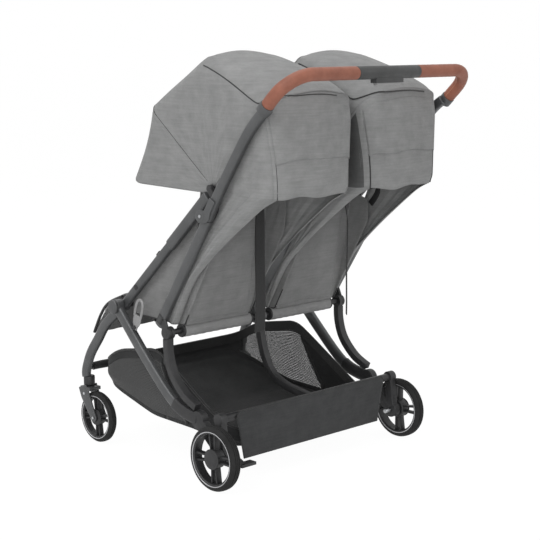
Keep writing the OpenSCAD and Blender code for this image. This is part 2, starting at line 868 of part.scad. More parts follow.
module seat_base() {
    in = (seat_outer_x - seat_inner_x) * base_sleeve_share;
    pad(base_path, seat_inner_x, seat_outer_x, base_pad_t);
    difference() {
        cross_bar(base_sleeve_r, seat_inner_x + in, seat_outer_x - in, knuckle);
        cross_bar(knuckle_axle_r + fit, seat_inner_x, seat_outer_x, knuckle);
    }
}

module seat_base_left() {
    color(cloth) placed() seat_base();
}

module seat_base_right() {
    color(cloth) placed() right_side() seat_base();
}

// Seat backs stand on the roll and lean back a little
back_foot_lift = 18.1;
back_foot_behind = 6;
back_top_ahead = 134;
back_top_z = 752;
back_shares = [[0, 0], [0.25, -0.03], [0.6, -0.025], [1, 0]];
back_path = spline(along(roll + [back_foot_behind, back_foot_lift],
    [-back_top_ahead, back_top_z], back_shares), 8);

module seat_back_left() {
    color(cloth) placed() pad(back_path, seat_inner_x, seat_outer_x, back_pad_t);
}

module seat_back_right() {
    color(cloth) placed() pad(back_path, -seat_outer_x, -seat_inner_x, back_pad_t);
}

// Calf rests hang from the knuckle tube on two arms
calf_root_out = 32;
calf_root_lift = 18;
calf_out = 140;
calf_drop = 128;
calf_root = knuckle + [-calf_root_out, calf_root_lift];
calf_tip = calf_root + [-calf_out, -calf_drop];
calf_shares = [[0, 0], [0.38, -0.13], [0.66, -0.11], [1, 0]];
calf_path = spline(along(calf_root, calf_tip, calf_shares), 8);
calf_arm_depth = 10;
calf_arm_w = 8;
calf_arm_eye_r = 9;
calf_arm_in_share = 0.22;

module calf_arm(x) {
    under = calf_pad_t / 2 + calf_arm_depth / 2 + gap;
    arm = spline(concat([knuckle],
        [for (m = [9, 13, 17]) calf_path[m] + perp(heading(calf_path, m)) * under]), 4);
    difference() {
        union() {
            side_plate(ribbon(arm, calf_arm_depth / 2), x, x + calf_arm_w);
            cross_bar(calf_arm_eye_r, x, x + calf_arm_w, knuckle);
        }
        cross_bar(knuckle_axle_r + fit, x - over, x + calf_arm_w + over, knuckle);
    }
}

module calf_rest() {
    in = (seat_outer_x - seat_inner_x) * calf_arm_in_share;
    pad(calf_path, seat_inner_x, seat_outer_x, calf_pad_t);
    calf_arm(seat_inner_x + in);
    calf_arm(seat_outer_x - in - calf_arm_w);
}

module calf_rest_left() {
    color(cloth) placed() calf_rest();
}

module calf_rest_right() {
    color(cloth) placed() right_side() calf_rest();
}

// Crotch strap and buckle of each seat's harness
buckle_ahead = 340;
buckle_foot_z = 435;
buckle_top_z = 490;
buckle_half_w = 22;
buckle_half_d = 7;

module harness_buckles() {
    seat_x = (seat_inner_x + seat_outer_x) / 2;
    color(black) placed() both_sides()
        translate([seat_x - buckle_half_w, -buckle_ahead - buckle_half_d, buckle_foot_z])
            cube([buckle_half_w * 2, buckle_half_d * 2, buckle_top_z - buckle_foot_z]);
}

// Fabric side panels between the push tubes and the canopy's rear corner
panel_t = 3;
wing_clear = 0.5;
wing_inner_x = 31;
wing_corner_behind = 172;
wing_top_z = 752;
wing_shares = [[0.045, 0.019], [0.507, 0.1535], [0.64, 0.159], [0.713, 0.2445], [1, 0], [0.897, 0.002],
    [0.088, -0.0367]];
wing_outline = along(push_foot, [wing_corner_behind, wing_top_z], wing_shares);

module seat_side_panels() {
    color(cloth) placed() both_sides() {
        side_plate(wing_outline, outer_x0 - panel_t - wing_clear, outer_x0 - wing_clear);
        side_plate(wing_outline, wing_inner_x, wing_inner_x + panel_t);
    }
}

// Fabric side panels of the seats, from the side bars back past the push tubes
front_panel_front = 17;
front_panel_foot_drop = 21;
front_panel_top_behind = 312;
front_panel_top_lift = 294;
front_panel_rear_behind = 368;
front_panel_foot_behind = 238;
front_panel_foot_step = 5;
front_panel_foot_short = 34;
front_panel_shares = [[0, 0], [0.047, 0.064]];
front_panel_top_shares = [[0.86, -0.4], [1, -1.29]];
front_panel_foot = knuckle + [front_panel_front, -front_panel_foot_drop];
front_panel_top = knuckle + [front_panel_top_behind, front_panel_top_lift];
front_panel_outline = concat(along(front_panel_foot, front_panel_top, front_panel_shares), [front_panel_top],
    along(front_panel_top, knuckle + [front_panel_rear_behind, front_panel_top_lift], front_panel_top_shares),
    [knuckle + [front_panel_foot_behind, front_panel_foot_step - front_panel_foot_drop]],
    [knuckle + [front_panel_foot_behind - front_panel_foot_short, -front_panel_foot_drop]]);

module seat_side_fronts() {
    color(cloth) placed() both_sides() {
        side_plate(front_panel_outline, seat_outer_x + gap, seat_outer_x + gap + panel_t);
        side_plate(front_panel_outline, seat_inner_x - gap - panel_t, seat_inner_x - gap);
    }
}

// Recline straps: a band behind each seat back, an adjuster and a hanging tail
strap_t = 2;
strap_w = 24;
band_z = 722;
band_behind_hinge = 22;
tail_foot_z = 380;
adjuster_half_w = 19;
adjuster_t = 6;

module recline_straps() {
    band_y = -hinge_ahead + band_behind_hinge;
    seat_x = (seat_inner_x + seat_outer_x) / 2;
    color(black) placed() both_sides() {
        translate([wing_inner_x + panel_t + gap, band_y, band_z])
            cube([outer_x0 - panel_t - wing_clear - wing_inner_x - panel_t - gap * 2, strap_t, strap_w]);
        translate([seat_x - adjuster_half_w, band_y - adjuster_t / 2, band_z - adjuster_t])
            cube([adjuster_half_w * 2, adjuster_t + strap_t, strap_w + adjuster_t]);
        translate([seat_x - strap_w / 2, band_y, tail_foot_z])
            cube([strap_w, strap_t, band_z - tail_foot_z]);
    }
}

// Canopies: arches that turn about the pivot, from the visor over the crown to the rear hem
visor_angle = 182;
mid_angle = 138.5;
crown_angle = 95;
rear_angle = 45.5;
hem_angle = -3;
visor_reach = 300;
mid_reach = 309;
crown_reach = 335;
rear_reach = 340;
hem_reach = 240;
canopy_root_r = 17;
visor_corner = 28;
mid_corner = 38;
crown_corner = 46;
rear_corner = 62;
canopy_crown = 12;
canopy_root_in = 17;
arch_arm_steps = 3;
arch_corner_steps = 4;
arch_top_steps = 4;
visor_hollow = -2;
crown_swell = 8;

// Reach of the canopy at a turn about the pivot: cloth pulled straight from bow to bow, or swelling a little
function reach_between(a, b, ra, rb, swell, t) =
    ra * rb * sin(a - b) / (ra * sin(a - t) + rb * sin(t - b)) + swell * sin(180 * (a - t) / (a - b));
function reach_at(t) =
    t >= mid_angle ? reach_between(visor_angle, mid_angle, visor_reach, mid_reach, visor_hollow, t)
    : t >= crown_angle ? reach_between(mid_angle, crown_angle, mid_reach, crown_reach, 0, t)
    : t >= rear_angle ? reach_between(crown_angle, rear_angle, crown_reach, rear_reach, crown_swell, t)
    : hem_reach / cos(t);
// Radius of the canopy's upper corners at a turn
function corner_between(a, b, ca, cb, t) = ca + (cb - ca) * (a - t) / (a - b);
function corner_at(t) =
    t >= mid_angle ? corner_between(visor_angle, mid_angle, visor_corner, mid_corner, t)
    : t >= crown_angle ? corner_between(mid_angle, crown_angle, mid_corner, crown_corner, t)
    : t >= rear_angle ? corner_between(crown_angle, rear_angle, crown_corner, rear_corner, t)
    : rear_corner;

canopy_turns = concat([for (k = [0:3]) visor_angle - (visor_angle - mid_angle) * k / 4],
    [for (k = [0:3]) mid_angle - (mid_angle - crown_angle) * k / 4],
    [for (k = [0:3]) crown_angle - (crown_angle - rear_angle) * k / 4],
    [for (k = [0:4]) rear_angle - (rear_angle - hem_angle) * k / 4]);

canopy_half = (canopy_outer_x - canopy_inner_x) / 2;

// Half an arch as [distance from the canopy's middle, reach], from the pivot to the crown line
function half_arch(r, corner, half, root, wall) = let (c = corner - wall, h = half - wall, top = r - wall)
    concat([for (k = [0:arch_arm_steps - 1]) let (s = k / arch_arm_steps)
            [h - canopy_root_in * (1 - s), root + (top - c - root) * s]],
        [for (k = [0:arch_corner_steps]) let (a = 90 * k / arch_corner_steps)
            [h - c + c * cos(a), top - c + c * sin(a)]],
        [for (k = [1:arch_top_steps]) let (s = k / arch_top_steps)
            [(h - c) * (1 - s), top + canopy_crown * sin(90 * s)]]);

function arch(r, corner, half, root, wall) = let (a = half_arch(r, corner, half, root, wall), n = len(a))
    concat(a, [for (k = [n - 2:-1:0]) [-a[k][0], a[k][1]]]);

module canopy() {
    half = canopy_half;
    mid_x = (canopy_outer_x + canopy_inner_x) / 2;
    rings = [for (wall = [0, canopy_wall], t = canopy_turns)
        [for (p = arch(reach_at(t), corner_at(t), half, canopy_root_r, wall))
            [mid_x + p[0], canopy_pivot[0] + p[1] * cos(t), canopy_pivot[1] + p[1] * sin(t)]]];
    n = len(rings[0]);
    m = len(canopy_turns);
    all = n * m;
    points = [for (ring = rings, p = ring) p];
    skin = [for (j = [0:m - 2], i = [0:n - 2], k = [0, 1])
        let (a = j * n + i) k == 0 ? [a, a + 1, a + n] : [a + 1, a + n + 1, a + n]];
    lining = [for (f = skin) [f[0] + all, f[2] + all, f[1] + all]];
    edge = concat([for (i = [0:n - 1]) i], [for (j = [1:m - 1]) j * n + n - 1],
        [for (i = [n - 2:-1:0]) (m - 1) * n + i], [for (j = [m - 2:-1:1]) j * n]);
    hem = [for (e = [0:len(edge) - 1], k = [0, 1])
        let (a = edge[e], b = edge[(e + 1) % len(edge)])
        k == 0 ? [a, a + all, b] : [b, a + all, b + all]];
    polyhedron(points = points, faces = concat(skin, lining, hem));
}

module canopy_left() {
    color(cloth) placed() canopy();
}

module canopy_right() {
    color(cloth) placed() right_side() canopy();
}

// A canopy bow: a wire bent round two corners, with an eye at each pivot
bow_pitch = 7;
bow_in = 30;
bow_outer_x = canopy_outer_x - bow_in;
bow_inner_x = canopy_inner_x + bow_in;
bow_corner_r = 44;
bow_eye_r = 8;
bow_clear = 1.4;
rear_bow_clear = 2;
bow_eye_extra = 0.4;
bow_eye_half = bow_r + bow_eye_extra;

module bow(turn, reach, corner, clear, place) {
    x0 = bow_inner_x + place * bow_pitch;
    x1 = bow_outer_x - place * bow_pitch;
    bar_half = (x1 - x0) / 2 - bow_corner_r;
    rise = canopy_crown * sin(90 * (1 - bar_half / (canopy_half - corner)));
    top = reach - canopy_wall - bow_r + rise - clear;
    translate([0, canopy_pivot[0], canopy_pivot[1]]) rotate([turn, 0, 0]) difference() {
        union() {
            for (x = [x0, x1]) {
                translate([x, 0, 0]) rotate([-90, 0, 0]) cylinder(r = bow_r, h = top - bow_corner_r);
                translate([x - bow_eye_half, 0, 0]) rotate([0, 90, 0]) cylinder(r = bow_eye_r, h = bow_eye_half * 2);
            }
            translate([x1 - bow_corner_r, top - bow_corner_r, 0])
                rotate_extrude(angle = 90) translate([bow_corner_r, 0]) circle(r = bow_r);
            translate([x0 + bow_corner_r, top - bow_corner_r, 0]) rotate([0, 0, 90])
                rotate_extrude(angle = 90) translate([bow_corner_r, 0]) circle(r = bow_r);
            translate([x0 + bow_corner_r, top, 0]) rotate([0, 90, 0])
                cylinder(r = bow_r, h = x1 - x0 - bow_corner_r * 2);
        }
        translate([x0 - bow_eye_r, 0, 0]) rotate([0, 90, 0])
            cylinder(r = pivot_r + fit, h = x1 - x0 + bow_eye_r * 2);
    }
}

module canopy_rear_bows() {
    color(steel) placed() both_sides() bow(rear_angle, rear_reach, rear_corner, rear_bow_clear, 3);
}

module visor_bow_left() {
    color(steel) placed() bow(visor_angle, visor_reach, visor_corner, bow_clear, 0);
}

module visor_bow_right() {
    color(steel) placed() right_side() bow(visor_angle, visor_reach, visor_corner, bow_clear, 0);
}

module mid_bow_left() {
    color(steel) placed() bow(mid_angle, mid_reach, mid_corner, bow_clear, 1);
}

module mid_bow_right() {
    color(steel) placed() right_side() bow(mid_angle, mid_reach, mid_corner, bow_clear, 1);
}

module crown_bow_left() {
    color(steel) placed() bow(crown_angle, crown_reach, crown_corner, bow_clear, 2);
}

module crown_bow_right() {
    color(steel) placed() right_side() bow(crown_angle, crown_reach, crown_corner, bow_clear, 2);
}

// Basket: an open tub slung between the front and rear cross tubes
basket_front_lean = 11;
basket_front_foot_z = 162;
basket_top_z = 222;
basket_rear_ahead = 16;
basket_rear_foot_z = 74;
basket_rear_top_z = 128;
basket_foot_shares = [[0, 0], [0.4, -0.042], [0.71, -0.005], [1, 0]];
basket_top_shares = [[0, 0], [0.139, 0.029], [0.492, 0.175], [0.584, 0.209], [0.853, 0.117], [1, 0]];
basket_front = front_bar[0] + front_bar_r + gap;
basket_foot = along([basket_front + basket_front_lean, basket_front_foot_z],
    [-basket_rear_ahead, basket_rear_foot_z], basket_foot_shares);
basket_rim = along([-basket_rear_ahead, basket_rear_top_z], [basket_front, basket_top_z],
    [for (s = basket_top_shares) [s[0], -s[1]]]);

module basket() {
    front = [basket_front, front_bar[1] - front_bar_r];
    color(dark_cloth) placed() difference() {
        side_plate(concat(basket_foot, basket_rim, [front]), -basket_half_w, basket_half_w);
        side_plate(concat([basket_foot[0] + [basket_wall, basket_wall]],
            [for (k = [1, 2]) basket_foot[k] + [0, basket_wall]],
            [basket_foot[3] + [-basket_wall, basket_wall]], [basket_rim[0] + [-basket_wall, over]],
            [for (k = [1:len(basket_rim) - 2]) basket_rim[k] + [0, over * 2]],
            [basket_rim[len(basket_rim) - 1] + [basket_wall, over]],
            [front + [basket_wall, 0]]), -basket_half_w + basket_wall, basket_half_w - basket_wall);
    }
}

// Rear panel that hangs behind the crossbar
panel_foot_z = 64;
panel_top_z = 194;
rear_panel_t = 4;

module basket_panel() {
    color(dark_cloth) placed() translate([0, crossbar[0] + crossbar_r + gap + rear_panel_t, 0]) rotate([90, 0, 0])
        linear_extrude(height = rear_panel_t) polygon([[-panel_foot_half, panel_foot_z],
            [panel_foot_half, panel_foot_z], [panel_top_half, panel_top_z], [-panel_top_half, panel_top_z]]);
}

rear_leg_left();
rear_leg_right();
side_struts();
strut_centre();
rear_crossbar();
knuckle_axle();
knuckle_caps();
axle_blocks();
rear_axles();
basket();
basket_panel();
seat_base_left();
seat_base_right();
seat_side_fronts();
harness_buckles();
front_leg_left();
front_leg_right();
front_crossbar();
caster_sockets();
caster_fork_left();
caster_fork_right();
tyre_front_left();
tyre_front_right();
tyre_rear_left();
tyre_rear_right();
rim_front_left();
rim_front_right();
rim_rear_left();
rim_rear_right();
push_tube_left();
push_tube_right();
centre_post();
roll_tube();
seat_rolls();
canopy_lugs();
recline_straps();
seat_side_panels();
canopy_left();
canopy_right();
canopy_rear_bows();
handle_sides();
handle_bar();
handle_grips();
handle_centre();
handle_collars();
fold_trigger();
side_bar_left();
side_bar_right();
brake_pedal();
storage_hook();
seat_back_left();
seat_back_right();
calf_rest_left();
calf_rest_right();
visor_bow_left();
visor_bow_right();
mid_bow_left();
mid_bow_right();
crown_bow_left();
crown_bow_right();
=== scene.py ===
import json
import math
import bmesh
import bpy
from mathutils import Matrix, Vector, noise


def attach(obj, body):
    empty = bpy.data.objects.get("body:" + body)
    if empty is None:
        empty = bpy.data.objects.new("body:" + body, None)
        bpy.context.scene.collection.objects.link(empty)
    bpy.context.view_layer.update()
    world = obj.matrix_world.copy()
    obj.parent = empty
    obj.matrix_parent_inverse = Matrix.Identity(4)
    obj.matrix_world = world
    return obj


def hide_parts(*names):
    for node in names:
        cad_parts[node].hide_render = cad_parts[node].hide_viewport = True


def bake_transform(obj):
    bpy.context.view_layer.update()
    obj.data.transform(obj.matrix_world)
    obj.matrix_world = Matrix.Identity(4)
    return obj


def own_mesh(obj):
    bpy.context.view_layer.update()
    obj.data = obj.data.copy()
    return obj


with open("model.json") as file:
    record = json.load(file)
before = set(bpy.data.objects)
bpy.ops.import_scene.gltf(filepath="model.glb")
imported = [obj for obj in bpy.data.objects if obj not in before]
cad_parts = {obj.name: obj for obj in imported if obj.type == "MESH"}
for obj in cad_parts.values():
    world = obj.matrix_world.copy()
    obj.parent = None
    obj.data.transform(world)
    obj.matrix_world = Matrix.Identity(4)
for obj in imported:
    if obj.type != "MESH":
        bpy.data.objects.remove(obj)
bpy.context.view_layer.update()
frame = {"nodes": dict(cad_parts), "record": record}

scene = bpy.context.scene
left, right = 1, -1
sides = ((left, "left"), (right, "right"))
seat_edges = ((True, "outer"), (False, "inner"))

# Side view points: millimetres behind the rear axle, and height above the floor
axle_y = 186.25
knuckle = Vector((-430, 418))
roll = Vector((-216, 376))
push_foot = Vector((-248, 394))
hinge_line = Vector((-55, 693))
hinge = Vector((-68.86, 701.95))
hood_pivot = Vector((-65.86, 770))
rear_axle = Vector((0, 85))
front_axle = Vector((-566, 73))
swivel = Vector((-607, 182))
block = Vector((-92, 164))
handle_bar = Vector((250, 1063))
collar = Vector((165, 982))

# Planes across the frame, in millimetres from its middle
outer_x, inner_x = (320, 342), (297, 317)
cuff_x, roll_lug_x, hinge_lug_x = (318.8, 343.4), (331, 341.5), (320.5, 341.5)
hinge_plate_x, hinge_arm_x, hinge_rivet_x = (342, 347), (342, 346.6), (346.5, 348.6)
bar_lower_x, bar_upper_x, bar_eye_x = (297.5, 316.5), (296.8, 317.2), (307.5, 317)
seat_x = (54, 281)
wheel_x, caster_x = 361, 299


def at(x, p):
    """A place in the model, in metres, from millimetres across and a side view point."""
    return Vector((x, p[0] + axle_y, p[1])) * 0.001


def beside(v):
    """The direction to the left of another."""
    return Vector((-v.y, v.x))


def round_from(share):
    """The direction at a share of a full turn."""
    return Vector((math.cos(math.tau * share), math.sin(math.tau * share)))


def along(a, b, shares):
    """Points at shares of the way from a to b, and to the left of it."""
    a, b = Vector(a), Vector(b)
    return [a + (b - a) * s + beside(b - a) * t for s, t in shares]


def smooth_line(points, steps):
    """A smooth line through points."""
    out = []
    for i in range(len(points) - 1):
        a, b, c, d = points[max(i - 1, 0)], points[i], points[i + 1], points[min(i + 2, len(points) - 1)]
        for k in range(steps):
            t = k / steps
            out.append(b + (c - a) * (t / 2) + (2 * a - 5 * b + 4 * c - d) * (t * t / 2)
                       + (3 * b - a - 3 * c + d) * (t ** 3 / 2))
    return out + [points[-1]]


def reach_of(points):
    return sum((b - a).length for a, b in zip(points, points[1:]))


def on_line(points, share):
    """The point at a share of a line's length, and its heading there."""
    far = max(0.0, min(1.0, share)) * reach_of(points)
    for a, b in zip(points, points[1:]):
        step = (b - a).length
        if far <= step or b is points[-1]:
            return a + (b - a) * (far / step if step else 0), (b - a).normalized()
        far -= step


def soft_step(a, b, x):
    t = max(0.0, min(1.0, (x - a) / (b - a)))
    return t * t * (3 - 2 * t)


def ripple(x, y, z=0.0):
    """Smooth unevenness between -1 and 1."""
    return noise.noise(Vector((x, y, z)))


# Frame lines, as in the solids
rear_leg_line = smooth_line(along(knuckle, block, [(0, 0), (0.42, -0.065), (0.78, -0.088), (1, 0)]), 8)
front_leg_line = smooth_line(along(knuckle, swivel, [(0, 0), (0.33, -0.09), (0.55, -0.095), (0.76, -0.095),
                                                     (0.94, -0.05), (1, 0)]), 8)
push_dir = (hinge_line - push_foot).normalized()
handle_line = smooth_line(along(hinge_line + push_dir * 0.4, collar, [(0, 0), (0.17, 0.02), (0.515, 0.042),
                                                                     (0.75, 0.048), (0.9, 0.031), (1, 0)]), 8)
bar_top = Vector((-78, 750))
seat_base_line = smooth_line(along(knuckle + Vector((-6, 25)), roll + Vector((-14, 34)),
                                   [(0, 0), (0.3, -0.035), (0.65, -0.035), (1, 0)]), 8)
seat_back_line = smooth_line(along(roll + Vector((6, 18.1)), (-134, 752),
                                   [(0, 0), (0.25, -0.03), (0.6, -0.025), (1, 0)]), 8)
calf_line = smooth_line(along((-462, 436), (-602, 308), [(0, 0), (0.38, -0.13), (0.66, -0.11), (1, 0)]), 8)


# Finishes
def node_of(tree, kind, **values):
    """A new node, with its sockets and settings by name."""
    node = tree.nodes.new(kind)
    for key, value in values.items():
        if key in node.inputs:
            node.inputs[key].default_value = value
        else:
            setattr(node, key, value)
    return node


def new_finish(name, colour, roughness, metallic=0.0, coat=0.0, sheen=0.0, specular=0.5):
    """A plain finish, with its node tree and shader."""
    mat = bpy.data.materials.new(name)
    mat.use_nodes = True
    tree = mat.node_tree
    shader = tree.nodes["Principled BSDF"]
    shader.inputs["Base Color"].default_value = (*colour, 1)
    shader.inputs["Roughness"].default_value = roughness
    shader.inputs["Metallic"].default_value = metallic
    shader.inputs["Coat Weight"].default_value = coat
    shader.inputs["Coat Roughness"].default_value = 0.3
    shader.inputs["Sheen Weight"].default_value = sheen
    shader.inputs["Sheen Roughness"].default_value = 0.5
    shader.inputs["Specular IOR Level"].default_value = specular
    mat.diffuse_color = (*colour, 1)
    return mat, tree, shader


def spread(tree, source, low, high, to, cut=(0.3, 0.7)):
    """Spreads a pattern between two values of a socket."""
    ramp = node_of(tree, "ShaderNodeMapRange")
    ramp.inputs["From Min"].default_value, ramp.inputs["From Max"].default_value = cut
    ramp.inputs["To Min"].default_value, ramp.inputs["To Max"].default_value = low, high
    tree.links.new(source, ramp.inputs["Value"])
    tree.links.new(ramp.outputs["Result"], to)
    return ramp


def two_tone(tree, source, dark, light, to, cut=(0.35, 0.65)):
    """Spreads a pattern between two colours."""
    ramp = node_of(tree, "ShaderNodeValToRGB")
    ramp.color_ramp.elements[0].position, ramp.color_ramp.elements[1].position = cut
    ramp.color_ramp.elements[0].color = (*dark, 1)
    ramp.color_ramp.elements[1].color = (*light, 1)
    tree.links.new(source, ramp.inputs["Fac"])
    if to is not None:
        tree.links.new(ramp.outputs["Color"], to)
    return ramp


def raised(tree, shader, source, distance, strength, below=None):
    """Raises a pattern on the surface, over another where one is given."""
    bump = node_of(tree, "ShaderNodeBump", Strength=strength, Distance=distance)
    tree.links.new(source, bump.inputs["Height"])
    if below is not None:
        tree.links.new(below.outputs["Normal"], bump.inputs["Normal"])
    tree.links.new(bump.outputs["Normal"], shader.inputs["Normal"])
    return bump


def laid_out(tree, source, scale, turn=0.0):
    """Coordinates stretched to a pattern's own size."""
    place = node_of(tree, "ShaderNodeMapping")
    place.inputs["Scale"].default_value = scale
    place.inputs["Rotation"].default_value = (0, 0, turn)
    tree.links.new(source, place.inputs["Vector"])
    return place.outputs["Vector"]


def grain(tree, source, scale, detail=3.0, rough=0.6):
    tex = node_of(tree, "ShaderNodeTexNoise", Scale=scale, Detail=detail, Roughness=rough)
    tree.links.new(source, tex.inputs["Vector"])
    return tex.outputs["Fac"]


def bands(tree, source, scale, direction):
    tex = node_of(tree, "ShaderNodeTexWave", Scale=scale, Distortion=0.0)
    tex.wave_type, tex.bands_direction, tex.wave_profile = "BANDS", direction, "SIN"
    tree.links.new(source, tex.inputs["Vector"])
    return tex.outputs["Fac"]


def sum_of(tree, a, b, how="ADD"):
    """Two patterns, or a pattern and a number, put together."""
    node = node_of(tree, "ShaderNodeMath", operation=how)
    tree.links.new(a, node.inputs[0])
    if isinstance(b, (int, float)):
        node.inputs[1].default_value = b
    else:
        tree.links.new(b, node.inputs[1])
    return node.outputs[0]


def moulded(name, dark, light, roughness, grain_scale, bump, metallic=0.0, coat=0.0, specular=0.5):
    """A hard finish: fine surface grain, cloudy gloss and slightly worn colour."""
    mat, tree, shader = new_finish(name, light, roughness, metallic, coat, 0.0, specular)
    place = node_of(tree, "ShaderNodeTexCoord").outputs["Object"]
    fine = grain(tree, place, grain_scale, 2.0)
    cloud = grain(tree, place, 14.0, 4.0)
    two_tone(tree, cloud, dark, light, shader.inputs["Base Color"])
    spread(tree, grain(tree, place, 45.0, 3.0), roughness - 0.07, roughness + 0.08, shader.inputs["Roughness"])
    raised(tree, shader, fine, bump, 0.5)
    return mat


def woven(name, dark, light, pitch, roughness, sheen, heather=0.5, bump=0.00022):
    """Plain weave on the piece's own layout, with uneven yarns that give a heathered look."""
    mat, tree, shader = new_finish(name, light, roughness, 0.0, 0.0, sheen, 0.25)
    place = node_of(tree, "ShaderNodeUVMap", uv_map="UVMap").outputs["UV"]
    turns = 1 / pitch / math.tau * 2
    weft, warp = bands(tree, place, turns, "X"), bands(tree, place, turns, "Y")
    weave = sum_of(tree, weft, warp, "MULTIPLY")
    yarn_a = grain(tree, laid_out(tree, place, (90, 1100, 1)), 1.0, 2.0)
    yarn_b = grain(tree, laid_out(tree, place, (1100, 90, 1)), 1.0, 2.0)
    cloud = grain(tree, place, 22.0, 3.0)
    level = node_of(tree, "ShaderNodeTexCoord").outputs["Object"]
    slub = grain(tree, laid_out(tree, level, (14, 14, 260)), 1.0, 3.0)
    yarns = sum_of(tree, sum_of(tree, yarn_a, yarn_b, "ADD"), 0.5, "MULTIPLY")
    fibres = sum_of(tree, sum_of(tree, yarns, 1.1, "MULTIPLY"), sum_of(tree, slub, 0.9, "MULTIPLY"))
    blend = sum_of(tree, sum_of(tree, fibres, heather, "MULTIPLY"), sum_of(tree, cloud, 1 - heather, "MULTIPLY"))
    two_tone(tree, blend, dark, light, shader.inputs["Base Color"], (0.5, 0.95))
    spread(tree, weave, roughness - 0.08, roughness + 0.05, shader.inputs["Roughness"], (0, 1))
    under = node_of(tree, "ShaderNodeBump", Strength=0.35, Distance=0.002)
    tree.links.new(grain(tree, place, 60.0, 3.0), under.inputs["Height"])
    raised(tree, shader, weave, bump, 0.55, under)
    return mat


def netted(name, thread, hole, pitch):
    """Open mesh: round holes, seen through, in a knitted net."""
    mat, tree, shader = new_finish(name, thread, 0.8, 0.0, 0.0, 0.2, 0.3)
    place = node_of(tree, "ShaderNodeUVMap", uv_map="UVMap").outputs["UV"]
    cells = node_of(tree, "ShaderNodeTexVoronoi", Scale=1 / pitch, Randomness=0.12)
    tree.links.new(place, cells.inputs["Vector"])
    two_tone(tree, cells.outputs["Distance"], hole, thread, shader.inputs["Base Color"], (0.28, 0.42))
    spread(tree, cells.outputs["Distance"], 0.0, 1.0, shader.inputs["Alpha"], (0.17, 0.21))
    spread(tree, grain(tree, place, 500.0), 0.7, 0.9, shader.inputs["Roughness"])
    raised(tree, shader, cells.outputs["Distance"], 0.0006, 0.6)
    return mat


def ribbed(name, dark, light, pitch):
    """Flat webbing: crosswise ribs between plain selvedges."""
    mat, tree, shader = new_finish(name, light, 0.72, 0.0, 0.0, 0.25, 0.35)
    place = node_of(tree, "ShaderNodeUVMap", uv_map="UVMap").outputs["UV"]
    turns = 1 / pitch / math.tau * 2
    ribs = sum_of(tree, bands(tree, place, turns, "Y"), bands(tree, place, turns * 0.7, "X"), "MULTIPLY")
    two_tone(tree, ribs, dark, light, shader.inputs["Base Color"], (0.1, 0.9))
    spread(tree, grain(tree, place, 300.0), 0.62, 0.82, shader.inputs["Roughness"])
    raised(tree, shader, ribs, 0.0004, 0.7)
    return mat


def hide(name, dark, light, stitch):
    """Leather: pebbled grain, darker creases, and a sewn seam along the sleeve."""
    mat, tree, shader = new_finish(name, light, 0.55, 0.0, 0.06, 0.0, 0.4)
    place = node_of(tree, "ShaderNodeTexCoord").outputs["Object"]
    layout = node_of(tree, "ShaderNodeUVMap", uv_map="UVMap").outputs["UV"]
    pebbles = node_of(tree, "ShaderNodeTexVoronoi", Scale=620.0, feature="SMOOTH_F1")
    tree.links.new(place, pebbles.inputs["Vector"])
    cloud = grain(tree, place, 30.0, 5.0)
    base = two_tone(tree, cloud, dark, light, None, (0.3, 0.7))
    parts = node_of(tree, "ShaderNodeSeparateXYZ")
    tree.links.new(layout, parts.inputs["Vector"])
    near = sum_of(tree, parts.outputs["X"], 0.0, "ABSOLUTE")
    in_row = sum_of(tree, near, 0.0016, "LESS_THAN")
    in_dash = sum_of(tree, sum_of(tree, parts.outputs["Y"], 0.006, "MODULO"), 0.0042, "LESS_THAN")
    sewn = sum_of(tree, in_row, in_dash, "MULTIPLY")
    thread = node_of(tree, "ShaderNodeMix", data_type="RGBA")
    thread.inputs[7].default_value = (*stitch, 1)
    tree.links.new(sewn, thread.inputs[0])
    tree.links.new(base.outputs["Color"], thread.inputs[6])
    tree.links.new(thread.outputs[2], shader.inputs["Base Color"])
    spread(tree, pebbles.outputs["Distance"], 0.48, 0.66, shader.inputs["Roughness"], (0, 0.6))
    under = node_of(tree, "ShaderNodeBump", Strength=0.3, Distance=0.0012)
    tree.links.new(cloud, under.inputs["Height"])
    raised(tree, shader, pebbles.outputs["Distance"], 0.0004, 0.5, under)
    return mat


frame_paint = moulded("gunmetal_paint", (0.068, 0.070, 0.072), (0.088, 0.090, 0.092), 0.42, 2600, 0.00005, 0.35, 0.1)
black_plastic = moulded("black_moulded_plastic", (0.014, 0.014, 0.015), (0.022, 0.022, 0.023), 0.55, 1500, 0.0001)
black_tube = moulded("black_coated_tube", (0.016, 0.016, 0.017), (0.024, 0.024, 0.025), 0.42, 2400, 0.00004, 0.2)
steel = moulded("brushed_steel_wire", (0.42, 0.43, 0.44), (0.55, 0.56, 0.57), 0.34, 1800, 0.00003, 1.0)
silver = moulded("silver_plated_plastic", (0.40, 0.40, 0.41), (0.50, 0.50, 0.51), 0.36, 1800, 0.00004, 0.6)
rubber = moulded("foam_filled_rubber", (0.011, 0.011, 0.011), (0.019, 0.019, 0.019), 0.8, 900, 0.00022, 0, 0, 0.3)
grey_plastic = moulded("dark_grey_grip_plastic", (0.030, 0.031, 0.031), (0.042, 0.043, 0.043), 0.55, 1600, 0.00012)
bow_sleeve = moulded("grey_bow_sleeve", (0.175, 0.177, 0.177), (0.215, 0.217, 0.217), 0.85, 1400, 0.0001)
light_plastic = moulded("pale_grey_plastic", (0.24, 0.24, 0.24), (0.30, 0.30, 0.30), 0.45, 1600, 0.00006, 0.2)
hood_cloth = woven("heathered_grey_cloth", (0.185, 0.187, 0.187), (0.285, 0.287, 0.285), 0.0011, 0.88, 0.12, 0.45)
seat_cloth = woven("heathered_seat_cloth", (0.165, 0.166, 0.166), (0.255, 0.256, 0.254), 0.0011, 0.9, 0.12, 0.45)
